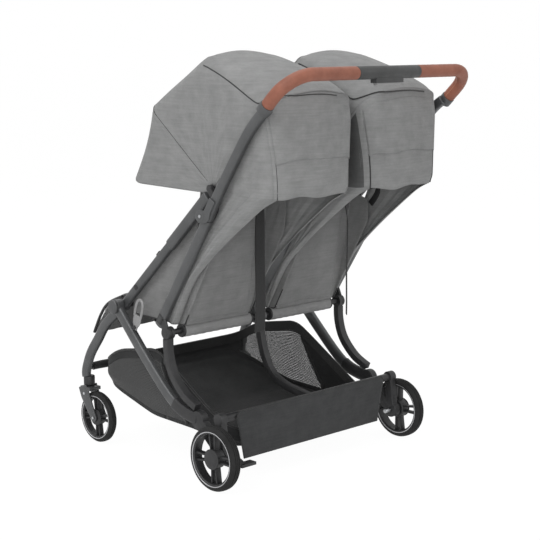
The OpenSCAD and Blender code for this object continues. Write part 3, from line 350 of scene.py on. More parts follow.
roll_cloth = woven("pale_roll_cloth", (0.215, 0.215, 0.215), (0.31, 0.31, 0.308), 0.0012, 0.88, 0.12, 0.4)
basket_cloth = woven("charcoal_basket_cloth", (0.030, 0.031, 0.032), (0.056, 0.057, 0.058), 0.0013, 0.82, 0.1, 0.4)
tub_cloth = woven("charcoal_tub_cloth", (0.017, 0.0175, 0.018), (0.034, 0.0345, 0.035), 0.0013, 0.85, 0.1, 0.4)
# Painted shade: a darker copy of the grey cloth, for where the two hoods shade each other
gap_shade_cloth = woven("painted_gap_shade_cloth", (0.075, 0.076, 0.076), (0.110, 0.111, 0.111), 0.0011, 0.9, 0.1, 0.4)
basket_net = netted("basket_net", (0.060, 0.061, 0.061), (0.045, 0.045, 0.045), 0.0045)
webbing = ribbed("black_webbing", (0.010, 0.010, 0.010), (0.028, 0.028, 0.029), 0.0016)
binding = ribbed("black_binding_tape", (0.012, 0.012, 0.012), (0.026, 0.026, 0.027), 0.0012)
leather = hide("brown_grained_leather", (0.215, 0.075, 0.046), (0.300, 0.112, 0.071), (0.36, 0.16, 0.10))


# Ways of making a piece
def finished(name, bm, material, body=None, stands_for=(), crease=35):
    """A mesh as a named piece, which rides on a body where one is given."""
    mesh = bpy.data.meshes.new(name)
    bm.to_mesh(mesh)
    bm.free()
    for face in mesh.polygons:
        face.use_smooth = True
    mesh.set_sharp_from_angle(angle=math.radians(crease))
    mesh.materials.append(material)
    obj = bpy.data.objects.new(name, mesh)
    scene.collection.objects.link(obj)
    if body:
        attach(obj, body)
    if stands_for:
        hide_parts(*stands_for)
    return obj


def skin(shape, across, length, span=(1.0, 1.0), closed=False, capped=False):
    """A grid laid over a shape given by two shares; span is the cloth's size for its layout."""
    bm = bmesh.new()
    uv = bm.loops.layers.uv.new("UVMap")
    bmesh.ops.create_grid(bm, x_segments=across, y_segments=length, size=0.5)
    share = {v: (v.co.x + 0.5, v.co.y + 0.5) for v in bm.verts}
    for face in bm.faces:
        for loop in face.loops:
            s, t = share[loop.vert]
            loop[uv].uv = (s * span[0], t * span[1])
    for v in bm.verts:
        v.co = shape(*share[v])
    if closed:
        bmesh.ops.remove_doubles(bm, verts=bm.verts, dist=1e-6)
    if capped:
        bmesh.ops.holes_fill(bm, edges=[e for e in bm.edges if e.is_boundary], sides=0)
    bmesh.ops.recalc_face_normals(bm, faces=bm.faces)
    return bm


def tube(line, x0, x1, depth, power=3.4, rounding=3.0, rings=44, around=28, width=None):
    """A flat oval tube between two planes along a side view line, with rounded ends."""
    long, mid, half = reach_of(line), (x0 + x1) / 2, abs(x1 - x0) / 2
    ends, tip = 4 / rings, rounding / long

    def share_of(v):
        if v < ends:
            return v / ends * tip
        if v > 1 - ends:
            return 1 - (1 - v) / ends * tip
        return tip + (v - ends) / (1 - 2 * ends) * (1 - 2 * tip)

    def shape(u, v):
        s = share_of(v)
        p, heading = on_line(line, s)
        near = min(1.0, min(s, 1 - s) / tip)
        draw = rounding * (1 - math.sqrt(max(0.0, 1 - (1 - near) ** 2)))
        a = math.tau * u
        wide, deep = half - draw, (depth(s) if callable(depth) else depth) / 2 - draw
        wide *= width(s) if width else 1
        x = math.copysign(abs(math.cos(a)) ** (2 / power), math.cos(a)) * wide
        y = math.copysign(abs(math.sin(a)) ** (2 / power), math.sin(a)) * deep
        return at(mid + x, p + beside(heading) * y)

    return skin(shape, around, rings, (0.09, long * 0.001), True, True)


def turned(profile, x, centre, steps=80, closed=True):
    """A profile of (across, radius) turned about an axle."""
    bm = bmesh.new()
    middle = at(x, centre)
    ring = [bm.verts.new(middle + Vector((a, 0, r)) * 0.001) for a, r in profile]
    pairs = list(zip(ring, ring[1:])) + ([(ring[-1], ring[0])] if closed else [])
    edges = [bm.edges.new(pair) for pair in pairs]
    bmesh.ops.spin(bm, geom=ring + edges, cent=middle, axis=(1, 0, 0), angle=math.tau, steps=steps, use_merge=True)
    bmesh.ops.remove_doubles(bm, verts=bm.verts, dist=1e-6)
    bmesh.ops.recalc_face_normals(bm, faces=bm.faces)
    return bm


def button(x0, x1, radius, centre, edge=1.5, steps=48, dish=0.0):
    """A round cover across the frame with softened edges."""
    s = 1 if x1 > x0 else -1
    profile = [(x0, 0), (x0, radius - edge), (x0 + s * edge * 0.3, radius - edge * 0.3), (x0 + s * edge, radius),
               (x1 - s * edge, radius), (x1 - s * edge * 0.3, radius - edge * 0.3), (x1, radius - edge),
               (x1 - s * dish, radius * 0.7), (x1 - s * dish, 0)]
    return turned(profile, 0, centre, steps, False)


def side_tube(side, line, planes, depth, power=3.2, *more, **named):
    """A tube on the left or the right of the frame."""
    return tube(line, side * planes[0], side * planes[1], depth, power, *more, **named)


def side_button(side, planes, *more):
    """A button on the left or the right of the frame."""
    return button(side * planes[0], side * planes[1], *more)


def bead(points, radius, around=8):
    """A thin round cord through model points."""
    ends = [p.copy() for p in points]
    frames, up = [], None
    for i in range(len(ends)):
        ahead = (ends[min(i + 1, len(ends) - 1)] - ends[max(i - 1, 0)]).normalized()
        if up is None:
            up = ahead.orthogonal().normalized()
        up = (up - ahead * up.dot(ahead)).normalized()
        frames.append((up.copy(), ahead.cross(up)))
    count = len(ends) - 1

    def shape(u, v):
        i = min(int(round(v * count)), count)
        a = math.tau * u
        return ends[i] + (frames[i][0] * math.cos(a) + frames[i][1] * math.sin(a)) * radius

    long = sum((b - a).length for a, b in zip(ends, ends[1:]))
    return skin(shape, around, count, (math.tau * radius, long), True, True)


def rounded_box(low, high, edge, segments=3):
    """A block between two corners in model millimetres with softened edges."""
    bm = bmesh.new()
    size = Vector(high) - Vector(low)
    turn = Matrix.Translation((Vector(low) + Vector(high)) * 0.0005) @ Matrix.Diagonal((*(size * 0.001), 1))
    bmesh.ops.create_cube(bm, size=1, matrix=turn)
    bmesh.ops.bevel(bm, geom=bm.edges, offset=edge * 0.001, segments=segments, affect="EDGES", profile=0.5,
                    material=-1)
    return bm


def softened(node, name, material, edge, segments=2):
    """A solid's own shape with its edges rounded, in place of the solid."""
    source = frame["nodes"][node]
    bm = bmesh.new()
    bm.from_mesh(source.data)
    bmesh.ops.remove_doubles(bm, verts=bm.verts, dist=2e-6)
    bmesh.ops.dissolve_limit(bm, angle_limit=math.radians(1.5), verts=bm.verts, edges=bm.edges)
    sharp = [e for e in bm.edges if e.is_manifold and e.calc_face_angle(0) > math.radians(bevel_angle)]
    bmesh.ops.bevel(bm, geom=sharp, offset=edge * 0.001, segments=segments, affect="EDGES", profile=0.5,
                    material=-1, clamp_overlap=True)
    return finished(name, bm, material, body_names[node], [node])


def thick(obj, metres, inwards=True):
    """Gives a sheet its thickness, inwards or to both sides."""
    wall = obj.modifiers.new("wall", "SOLIDIFY")
    wall.thickness = metres
    wall.offset = -1 if inwards else 0
    wall.use_rim = True


bevel_angle, least_share = 38, 0.3
body_names = {node: body for body, nodes in frame["record"]["behaviour"]["bodies"].items() for node in nodes}


# Frame tubes
bar_dir = (bar_top - knuckle).normalized()


def on_bar(share):
    return knuckle + (bar_top - knuckle) * share


bar_step, bar_socket = on_bar(0.57), on_bar(0.18)
bar_nub = on_bar(0.46) + beside(bar_dir) * 12
slot_low, slot_top = push_foot + push_dir * 8, push_foot + push_dir * 34
cuff_line = [on_line(rear_leg_line, 0.76 + 0.235 * k / 12)[0] for k in range(13)]
hinge_arm_line = smooth_line([hinge] + [handle_line[k] for k in (2, 4, 6, 8)], 6)

for side, word in sides:
    finished("leg_tube_rear_" + word, side_tube(side, rear_leg_line, outer_x, 30), frame_paint, "rear_frame",
             ["rear_leg_" + word])
    finished("leg_cuff_" + word, side_tube(side, cuff_line, cuff_x, 35), black_plastic, "rear_frame")
    finished("leg_tube_front_" + word, side_tube(side, front_leg_line[:-2], inner_x, 28), frame_paint, "front_frame",
             ["front_leg_" + word])
    finished("knuckle_plate_rear_" + word, side_button(side, (320, 342.4), 20, knuckle, 2.5), frame_paint, "rear_frame")
    finished("knuckle_plate_front_" + word, side_button(side, (297, 306.5), 16, knuckle, 2), frame_paint, "front_frame")
    finished("push_tube_lower_" + word,
             side_tube(side, [push_foot - push_dir * 2, hinge_line + push_dir * 1], outer_x, 28), frame_paint,
             "back_frame", ["push_tube_" + word])
    finished("foot_slot_frame_" + word, side_tube(side, [slot_low, slot_top], (341, 343.4), 19, 3.0, 1.0),
             black_plastic, "back_frame")
    finished("foot_slot_" + word,
             side_tube(side, [slot_low + push_dir * 4, slot_top - push_dir * 4], (342, 344), 9, 3.0, 0.8), grey_plastic,
             "back_frame")
    finished("push_tube_roll_lug_" + word, side_tube(side, [push_foot + push_dir * 26, roll], roll_lug_x, 25, 3.0),
             black_plastic, "back_frame")
    finished("push_tube_roll_eye_" + word, side_button(side, roll_lug_x, 17, roll, 2), black_plastic, "back_frame")
    finished("hinge_lug_" + word, side_button(side, hinge_lug_x, 11, hinge, 2), black_plastic, "back_frame")
    finished("push_tube_upper_" + word, side_tube(side, handle_line, outer_x, 27, rings=56), frame_paint,
             "handle_frame", ["handle_sides"])
    finished("hinge_plate_arm_" + word,
             side_tube(side, hinge_arm_line, hinge_arm_x, lambda s: 33 - 11 * soft_step(0.05, 0.6, s), 6, 1.4),
             frame_paint, "handle_frame")
    finished("hinge_plate_" + word, side_button(side, hinge_plate_x, 17, hinge, 1.4), frame_paint, "handle_frame")
    finished("hinge_rivet_" + word, side_button(side, hinge_rivet_x, 4.5, hinge, 1.6), steel, "handle_frame")
    finished("side_bar_lower_" + word,
             side_tube(side, [knuckle + bar_dir * 6, bar_step + bar_dir * 3], bar_lower_x, 25), frame_paint,
             "side_bars", ["side_bar_" + word])
    finished("side_bar_upper_" + word, side_tube(side, [bar_step - bar_dir * 2, bar_top], bar_upper_x, 32, 3.4),
             frame_paint, "side_bars")
    finished("side_bar_eye_" + word, side_button(side, bar_eye_x, 16, knuckle, 2), frame_paint, "side_bars")
    finished("side_bar_nub_" + word,
             side_tube(side, [bar_nub - bar_dir * 9, bar_nub + bar_dir * 9], (301, 313), 9, 3, 2.5, 16), black_plastic,
             "side_bars")
    finished("side_bar_socket_" + word, side_button(side, (315.5, 317.8), 7.5, bar_socket, 0.8, 32, 1.2),
             black_plastic, "side_bars")

# Hard pieces whose solids have the right shape, with softened edges
softened("axle_blocks", "axle_block_covers", black_plastic, 3.0, 3)
softened("side_struts", "roll_struts", black_plastic, 2.5, 3)
softened("strut_centre", "roll_strut_centre", black_plastic, 2.5, 3)
softened("centre_post", "post_between_seats", frame_paint, 3.0, 3)
softened("knuckle_caps", "knuckle_covers", frame_paint, 2.5, 3)
softened("canopy_lugs", "hood_lugs", black_plastic, 1.5)
softened("caster_sockets", "caster_housings", black_plastic, 3.0, 3)
for side, word in sides:
    softened("caster_fork_" + word, "fork_" + word, frame_paint, 1.8, 3)
softened("brake_pedal", "foot_brake", black_plastic, 1.8, 3)
softened("handle_centre", "handle_middle", grey_plastic, 1.5)
softened("fold_trigger", "fold_slider", light_plastic, 3.0, 3)
softened("handle_collars", "handle_cuffs", frame_paint, 1.6)
softened("harness_buckles", "crotch_buckles", black_plastic, 3.0, 3)
softened("rear_axles", "rear_axle_pins", steel, 1.0)

# Storage hook: a flared plate on a pin, with a loop
hook_foot, hook_tip = along(knuckle, block, [(0.2166, 0.0267)])[0], Vector((-329, 439))
hook_up = (hook_tip - hook_foot).normalized()
hook_wide = beside(hook_up)
hook_loop = [hook_foot + hook_up * a + hook_wide * b for a, b in
             ((30, -13), (60, -13.5), (76, -9), (81, 0), (76, 9), (60, 13.5), (30, 13))]
finished("closing_hook",
         tube([hook_foot - hook_up * 8, hook_foot + hook_up * 36], 329, 337,
              lambda t: 15 + 17 * soft_step(0.1, 0.6, t), 2.0), light_plastic, "hook", ["storage_hook"])
finished("closing_hook_loop", tube(smooth_line(hook_loop, 6), 329.5, 336.5, 9, 1.8), light_plastic, "hook")
finished("closing_hook_pin", button(336, 339.5, 6, hook_foot, 1.2), black_plastic, "hook")

# Solids that are seen as they are, in a better finish
bows = ["canopy_rear_bows"] + [bow + word for bow in ("visor_bow_", "mid_bow_", "crown_bow_") for side, word in sides]
for nodes, material in ((("rear_crossbar", "knuckle_axle", "front_crossbar", "roll_tube", "handle_bar"), black_tube),
                        (bows, bow_sleeve)):
    for node in nodes:
        frame["nodes"][node].data.materials.clear()
        frame["nodes"][node].data.materials.append(material)


# Wheels: grooved tyre, silver edge, rim, four pairs of spokes and a hub cap
def wheel(word, side, x, centre, radius, width):
    body, rim_r, half = "wheel_" + word, radius * 0.845, width / 2
    shoulder = [(half, rim_r), (half, radius - 9), (half - 2.2, radius - 4.5), (half - 5.5, radius - 1.6),
                (half * 0.48, radius - 0.5), (half * 0.42, radius - 2.2), (half * 0.34, radius - 2.2),
                (half * 0.28, radius - 0.2), (half * 0.06, radius)]
    tread = ([(-a, r) for a, r in shoulder] + [(0, radius - 1.8)] + shoulder[::-1]
             + [(half - 4, rim_r - 1.5), (-half + 4, rim_r - 1.5)])
    finished("tread_" + word, turned(tread, x, centre, 96), rubber, body, ["tyre_" + word], 28)
    edge = half - 0.6
    hoop = [(-edge, rim_r + 0.2), (-edge, rim_r - 3.5), (-edge + 3, rim_r - 6.5), (edge - 3, rim_r - 6.5),
            (edge, rim_r - 3.5), (edge, rim_r + 0.2)]
    finished("wheel_hoop_" + word, turned(hoop, x, centre, 96), black_plastic, body, ["rim_" + word], 30)
    for s in (1, -1):
        ring = [(s * edge, rim_r + 0.9), (s * (edge + 0.9), rim_r + 0.5), (s * (edge + 1.0), rim_r - 1.3),
                (s * edge, rim_r - 1.9)]
        finished("silver_ring_%s_%s" % (word, "outer" if s == side else "inner"), turned(ring, x, centre, 96), silver,
                 body, crease=30)
    hub, hub_half = radius * 0.30, half - 2.2
    barrel = [(-hub_half, hub * 0.4), (-hub_half, hub - 2), (-hub_half + 2, hub), (hub_half - 2, hub),
              (hub_half, hub - 2), (hub_half, hub * 0.4)]
    finished("hub_" + word, turned(barrel, x, centre, 64), black_plastic, body, crease=30)
    face = side * (half - 2.4)
    cap = [(face + side * a, r) for a, r in
           ((0, 0.0), (0, hub + 1.5), (1.4, hub + 0.8), (2.2, hub - 1.5), (2.0, hub - 3.2), (2.6, hub - 4.2),
            (3.1, hub * 0.5), (3.2, 0.0))]
    finished("hub_cap_" + word, turned(cap, x, centre, 64, False), black_plastic, body, crease=30)
    bm = bmesh.new()
    for pair in range(4):
        for s in (1, -1):
            turn = Matrix.Translation(at(x, centre)) @ Matrix.Rotation(math.radians(90 * pair + 4), 4, "X")
            size = Matrix.Diagonal((width * 0.00055, radius * 0.000062, (rim_r - hub + 2) * 0.001, 1))
            place = Matrix.Translation(Vector((0, s * radius * 0.1, (rim_r + hub - 6) / 2)) * 0.001)
            lean = Matrix.Rotation(math.radians(-4 * s), 4, "X")
            made = bmesh.ops.create_cube(bm, size=1, matrix=turn @ place @ lean @ size)
            bmesh.ops.bevel(bm, geom=list({e for v in made["verts"] for e in v.link_edges}), offset=0.0012, segments=2,
                            affect="EDGES", profile=0.5, material=-1)
    finished("spokes_" + word, bm, black_plastic, body, crease=30)


# Fork covers on both sides of each caster wheel, with two rivets, and the wheels
fork_line = [Vector((-615, 158)), Vector((-606, 132)), Vector((-588, 104)), front_axle]
fork_rivets = (("low", front_axle), ("high", Vector((-605, 138))))
for side, word in sides:
    for out, where in ((1, "outer"), (-1, "inner")):
        cover_x, rivet_x = [(caster_x + out * a, caster_x + out * b) for a, b in ((14.4, 22.0), (21.4, 23.0))]
        finished("fork_cover_%s_%s" % (word, where),
                 side_tube(side, fork_line, cover_x, lambda t: 38 - 15 * t, 2.8, 2.4), frame_paint, "caster_" + word)
        for height, place in fork_rivets:
            finished("fork_rivet_%s_%s_%s" % (word, where, height), side_button(side, rivet_x, 4.2, place, 1.0), steel,
                     "caster_" + word)
    wheel("rear_" + word, side, side * wheel_x, rear_axle, 85, 32)
    wheel("front_" + word, side, side * caster_x, front_axle, 73, 26)

# Leather sleeves on the handle, from each cuff round the bend to the middle
handle_run = handle_bar - collar
handle_ahead = handle_run.normalized()
bend, leg_x, grip_r, grip_end, grip_start = 75, 343, 16.6, 115, 10.0


def handle_place(across, up, out):
    """A place on the handle's plane, and out from it."""
    p = collar + handle_ahead * up + beside(handle_ahead) * out
    return at(across, p)


def grip_line():
    reach = handle_run.length
    points = [(leg_x, grip_start + (reach - bend - grip_start) * k / 6) for k in range(7)]
    points += [(leg_x - bend + bend * math.cos(math.radians(a)), reach - bend + bend * math.sin(math.radians(a)))
               for a in range(6, 91, 6)]
    points += [(leg_x - bend - (leg_x - bend - grip_end) * k / 14, reach) for k in range(1, 15)]
    return [Vector((x, y)) for x, y in points]


def sleeve(side):
    line = grip_line()
    long = reach_of(line)

    def shape(u, v):
        p, heading = on_line(line, v)
        a = math.tau * u
        end = min(v, 1 - v) * long
        r = grip_r - 1.6 * (1 - soft_step(0, 3.5, end)) + 0.25 * ripple(v * 26, math.cos(a), math.sin(a))
        seam = math.exp(-((math.sin(a / 2)) / 0.06) ** 2) * 0.5
        out = beside(heading) * (math.cos(a) * (r - seam))
        return handle_place(side * (p.x + out.x), p.y + out.y, math.sin(a) * (r - seam))

    bm = skin(shape, 40, 110, (math.tau * grip_r * 0.001, long * 0.001), True, False)
    uv = bm.loops.layers.uv.active
    for face in bm.faces:
        for loop in face.loops:
            if loop[uv].uv.x > math.pi * grip_r * 0.001:
                loop[uv].uv.x -= math.tau * grip_r * 0.001
    return bm


for side, word in sides:
    finished("grip_sleeve_" + word, sleeve(side), leather, "handle_frame", ["handle_grips"] if side == left else ())


# Hoods: one arch swung about the pivot, from the visor over the crown to the rear hem
hood_middle, hood_half, hood_crown, hood_root, hood_in = 170, 148, 12, 7, 17
visor_turn, mid_turn, crown_turn, rear_turn, hem_turn = 181, 138.5, 95, 45.5, -3
visor_reach = 314
bow_turns = [(visor_turn, visor_reach, 30), (mid_turn, 309, 38), (crown_turn, 335, 46), (rear_turn, 340, 62)]
panel_swell = [-9, 1, 8]
rear_flat = 240
hood_wall, flap_wall = 0.0022, 0.0016


def hood_section(turn):
    """The arch's reach and corner radius at a turn about the pivot: cloth pulled from bow to bow."""
    turn = min(turn, visor_turn)
    soft_edge = 5 * math.exp(-((turn - rear_turn) / 4.0) ** 2) + 1.5 * math.exp(-((turn - crown_turn) / 2.5) ** 2)
    for (a, ra, ca), (b, rb, cb), swell in zip(bow_turns, bow_turns[1:], panel_swell):
        if turn >= b:
            s = (a - turn) / (a - b)
            from_a, from_b = math.radians(a - turn), math.radians(turn - b)
            straight = ra * rb * math.sin(from_a + from_b) / (ra * math.sin(from_a) + rb * math.sin(from_b))
            return straight + swell * math.sin(math.pi * s) - soft_edge, ca + (cb - ca) * s
    flat = rear_flat / math.cos(math.radians(turn))
    return flat - 2.4 * soft_step(rear_turn - 6, rear_turn, turn) - soft_edge, bow_turns[-1][2]


def hood_arch(reach, corner, share):
    """A point of the arch as (distance from the hood's middle, reach) and its outward direction there."""
    c, h, top = corner, hood_half, reach
    arm = math.hypot(hood_in, top - c - hood_root)
    bend_long, flat = c * math.pi / 2, h - c
    far = (share if share <= 0.5 else 1 - share) * 2 * (arm + bend_long + flat)
    if far < arm:
        s = far / arm
        p, n = Vector((h - hood_in * (1 - s), hood_root + (top - c - hood_root) * s)), Vector((1, 0.05))
    elif far < arm + bend_long:
        a = (far - arm) / c
        p, n = Vector((h - c + c * math.cos(a), top - c + c * math.sin(a))), Vector((math.cos(a), math.sin(a)))
    else:
        s = (far - arm - bend_long) / flat
        p, n = Vector(((h - c) * (1 - s), top + hood_crown * math.sin(math.pi / 2 * s))), Vector((0.1 * (1 - s), 1))
    n.normalize()
    if share > 0.5:
        p.x, n.x = -p.x, -n.x
    return p, n


def hood_place(side, turn, share, out=0.0):
    """A place on the hood's outside: turn about the pivot, and share of the arch from its outer foot."""
    p, n = hood_arch(*hood_section(turn), share)
    p = p + n * out
    a = math.radians(turn)
    return at(side * (hood_middle + p.x), hood_pivot + Vector((math.cos(a), math.sin(a))) * p.y)


def hood_wrinkle(side, turn, share):
    """Slack and pull lines: soft across the panels, none on the bows."""
    low = 1 - soft_step(0.02, 0.22, share) * (1 - soft_step(0.78, 0.98, share))
    slack = 1.0 * ripple(turn * 0.05 + side * 3, share * 9, 2.0)
    pull = 1.2 * low * ripple(turn * 0.16, share * 3 + side, 7.0)
    return slack + pull


def hood_front_wrinkle(side, turn, share):
    return hood_wrinkle(side, turn, share) * soft_step(0, 6, visor_turn - turn) * soft_step(0, 6, turn - rear_turn)


def visor_edge(share):
    """The visor's free edge: dropped towards the pivot, rounded at the front corners, and over the bow in front."""
    reach = hood_arch(*hood_section(visor_turn), share)[0].y
    drop, corner = 13 * max(0.0, 1 - reach / visor_reach), max(0.0, (reach - 268) / 46)
    across = soft_step(0.33, 0.42, min(share, 1 - share))
    return (visor_turn + math.degrees(math.atan2(drop, max(reach, 14))) - 4.2 * min(1.0, corner) ** 2 * (1 - across)
            + 2.0 * across)


def hood_front(side):
    def shape(u, v):
        edge_turn = visor_edge(u)
        turn = edge_turn + (rear_turn - edge_turn) * v
        return hood_place(side, turn, u, hood_front_wrinkle(side, turn, u))
    return skin(shape, 84, 94, (0.86, 0.74))


def hem_wave(side, share):
    """Degrees by which the rear hem hangs unevenly."""
    middle = math.sin(math.pi * share)
    return 1.8 * ripple(share * 9 + side * 5, 3.3) * middle + 1.0 * math.sin(share * 31 + side) * middle ** 2


def hood_rear_fold(side, share, down):
    """Folds of the loose rear face, whose hem curls under."""
    back = soft_step(0.2, 0.4, share) * (1 - soft_step(0.6, 0.8, share))
    fold = 5.0 * soft_step(0.35, 1, down) * ripple(share * 15 + side * 7, 1.5 + down * 0.7)
    side_fold = 7.0 * soft_step(0.05, 0.7, down) * (1 - back) * ripple(share * 26, down * 0.8, 4.0 + side)
    under = 8 * soft_step(0.84, 1.0, down) ** 2 * back
    return (fold * back + side_fold - 1.0 * back) * soft_step(0, 0.15, down) - under


def hood_rear_turn(side, share, down):
    return rear_turn + (hem_turn + hem_wave(side, share) - rear_turn) * down


def hood_rear(side):
    def shape(u, v):
        share = 0.304 + 0.392 * u
        return hood_place(side, hood_rear_turn(side, share, v), share, hood_rear_fold(side, share, v))
    return skin(shape, 70, 52, (0.30, 0.27))


def hood_flap(side):
    """Upper layer of the rear face, whose free edge overlaps the lower panel."""
    def shape(u, v):
        share = 0.318 + 0.364 * u
        down = 0.06 + 0.50 * v
        lift = 0.6 + 2.4 * soft_step(0.0, 0.25, v) + 0.8 * ripple(u * 6 + side, 8.0) * v
        return hood_place(side, hood_rear_turn(side, share, down), share, hood_rear_fold(side, share, down) + lift)
    return skin(shape, 64, 30, (0.36, 0.16))


def hood_gap_shade(side):
    """Painted shade: a darker cloth strip laid down the inner rear corner, beside the other hood, for the shade between
    the hoods.
    """
    def shape(u, v):
        share, down = 0.706 + 0.07 * u, 0.03 + 0.95 * v
        return hood_place(side, hood_rear_turn(side, share, down), share, hood_rear_fold(side, share, down) + 1.0)
    return skin(shape, 10, 40, (0.05, 0.28))


def hood_line(side, steps, out, radius):
    """A bead on the hood through (turn, share) steps."""
    path = smooth_line([Vector(p) for p in steps], 8)
    return bead([hood_place(side, p.x, p.y, out + (hood_front_wrinkle(side, p.x, p.y) if p.x > rear_turn else 0))
                 for p in path], radius * 0.001)


def fold_back(obj):
    """Bakes a hood piece's placement into its mesh."""
    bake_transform(obj)


for side, word in sides:
    front = finished("hood_front_" + word, hood_front(side), hood_cloth, None, ["canopy_" + word], 60)
    thick(front, hood_wall)
    fold_back(front)
    rear = finished("hood_rear_" + word, hood_rear(side), hood_cloth, "back_frame", crease=60)
    thick(rear, hood_wall)
    flap = finished("hood_rear_flap_" + word, hood_flap(side), hood_cloth, "back_frame", crease=60)
    thick(flap, flap_wall)
    # Piping on the second bow with a tonal seam beside it, a seam on the third, and a bound visor edge
    for name, turn, out, radius, material in (("piping", mid_turn, 0.5, 2.1, binding),
                                              ("seam", crown_turn + 2, 1.2, 1.3, hood_cloth),
                                              ("piping_seam", mid_turn + 2.4, 0.7, 2.0, hood_cloth)):
        over = [(turn, 0.012 + 0.976 * k / 24) for k in range(25)]
        fold_back(finished("hood_%s_%s" % (name, word), hood_line(side, over, out, radius), material))
    hem = [(visor_edge(share) - 0.3, share) for share in [0.004 + 0.992 * k / 60 for k in range(61)]]
    fold_back(finished("hood_visor_edge_" + word, hood_line(side, hem, -0.8, 2.2), hood_cloth))
    # Painted shade: a darker strip down each hood's inner rear corner, where the hoods shade each other
    gap_shade_sheet = finished("hood_gap_shade_" + word, hood_gap_shade(side), gap_shade_cloth, "back_frame", crease=60)
    # Zip round the top panel: down the stroller's left edge, and along the rear edge
    near = (lambda k: k) if side == left else (lambda k: 1 - k)
    zip_run = [(94, near(0.335)), (80, near(0.322)), (66, near(0.312)), (54, near(0.310)), (50, near(0.318)),
               (47.5, near(0.345)), (46.2, near(0.38))]
    fold_back(finished("hood_zip_side_" + word, hood_line(side, zip_run, 1.2, 2.0), binding))
    zip_back = [(46.2, near(0.38)), (45.2, near(0.42)), (44.6, near(0.5)), (44.6, near(0.575))]
    finished("hood_zip_rear_" + word, hood_line(side, zip_back, 1.6, 2.0), binding, "back_frame")
    # Piping down both rear corners, below the flap
    for corner, share in (("outer", 0.318), ("inner", 0.682)):
        points = [hood_place(side, hood_rear_turn(side, share, d), share, hood_rear_fold(side, share, d) + 0.8)
                  for d in [0.54 + 0.46 * k / 12 for k in range(13)]]
        finished("hood_corner_piping_%s_%s" % (word, corner), bead(points, 0.0017), binding, "back_frame")


# Sides of the hoods, which run on down as wings to a soft crease behind the tubes and posts
wing_front = smooth_line([Vector(p) for p in ((-59, 769), (-82, 724), (-112, 664), (-174, 530), (-236, 404))], 8)
wing_hem = smooth_line([Vector(p) for p in ((173, 760), (128, 738), (72, 700), (-20, 634), (-92, 574), (-146, 516),
                                            (-212, 396))], 8)


side_wall, wing_joint = 0.0018, 0.36


def wing(side, outer):
    """A hood's side down to the hem turn, then the loose wing below it."""
    def on_hood(u, down):
        share = 0.004 + 0.314 * u
        share = share if outer else 1 - share
        return hood_place(side, hood_rear_turn(side, share, down), share, hood_rear_fold(side, share, down))

    def shape(u, v):
        if v < wing_joint:
            return on_hood(u, v / wing_joint)
        v = (v - wing_joint) / 0.64
        top = on_hood(u, 1.0) * 1000
        start = wing_front[0].lerp(wing_hem[0], u)
        joined = 1 - soft_step(0.0, 0.6, v)
        p = on_line(wing_front, v)[0].lerp(on_line(wing_hem, v)[0], u)
        p = p + (Vector((top.y - axle_y, top.z)) - start) * joined
        round_in = max(0.0, (u - 0.7) / 0.3)
        inward = 1 - math.sqrt(max(0.0, 1 - round_in ** 2))
        loose = soft_step(0.0, 0.35, u) * soft_step(0.05, 0.4, v) * (1 - soft_step(0.8, 1.0, v))
        fold = (7.0 * ripple(u * 3.4 + v * 1.6 + side * 4, v * 1.9, 5.0 if outer else 9.0)
                + 3.0 * ripple(u * 9 - v * 3, v * 2.0, 12.0)) * loose
        x = 317.5 - 20 * inward + fold if outer else 32.5 + 3 * inward ** 2 - 1.5 * fold
        return at(side * (x + (abs(top.x) - x) * joined), p)
    return skin(shape, 56, 110, (0.30, 0.72))


for side, word in sides:
    for outer, where in seat_edges:
        panel = finished("seat_wing_%s_%s" % (word, where), wing(side, outer), hood_cloth, "back_frame",
                         ["seat_side_panels"], 70)
        thick(panel, side_wall, False)


# Side covers of the seats: from the side bars back past the push tubes, bound along the foot
cover_top = {True: [Vector(p) for p in ((-413, 418), (-409, 438), (-118, 711), (-72, 696))],
             False: [Vector(p) for p in ((-413, 418), (-409, 438), (-118, 711), (-108, 758))]}
cover_foot = {True: [Vector(p) for p in ((-413, 397), (-228, 393), (-198, 394), (-64, 636), (-66, 686))],
              False: [Vector(p) for p in ((-413, 397), (-228, 393), (-198, 394), (-64, 640), (-54, 756))]}


def cover_place(side, outer, u, v, out=0.0):
    """A place on a side cover, by shares down and along it."""
    p = on_line(cover_top[outer], v)[0].lerp(on_line(cover_foot[outer], v)[0], u)
    inside = math.sin(math.pi * max(0.0, min(1.0, u))) * soft_step(0, 0.2, v) * (1 - soft_step(0.85, 1, v))
    bulge = 3.0 * inside + 2.2 * inside * ripple(u * 4 + side, v * 6, 3.0 if outer else 8.0)
    return at(side * (287.5 + bulge + out if outer else 47.6 - bulge - out), p)


for side, word in sides:
    for outer, where in seat_edges:
        cover = finished("seat_cover_side_%s_%s" % (word, where),
                         skin(lambda u, v: cover_place(side, outer, u, v), 36, 70, (0.22, 0.46)), seat_cloth,
                         "rear_frame", ["seat_side_fronts"], 70)
        thick(cover, side_wall, False)
        foot = [cover_place(side, outer, 1.0, 0.46 * k / 40, 0.4) for k in range(41)]
        edge = finished("seat_cover_binding_%s_%s" % (word, where), bead(foot, 0.0019), binding, "rear_frame")
        for item in (cover, edge):
            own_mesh(item)


# Seat rolls: cloth wrapped round the tube between dark end rings
def roll_cover(side):
    def shape(u, v):
        a = math.tau * u
        crease = (0.5 * ripple(math.cos(a) * 2 + v * 8, math.sin(a) * 2, side)
                  + 0.35 * math.sin(v * 60 + 3 * math.sin(a)))
        end = min(v, 1 - v)
        r = 18.4 - 1.4 * (1 - soft_step(0, 0.02, end)) + crease * soft_step(0.01, 0.05, end)
        return at(side * (40 + 243 * v), roll + Vector((math.cos(a), math.sin(a))) * r)
    return skin(shape, 44, 70, (0.116, 0.243), True, True)


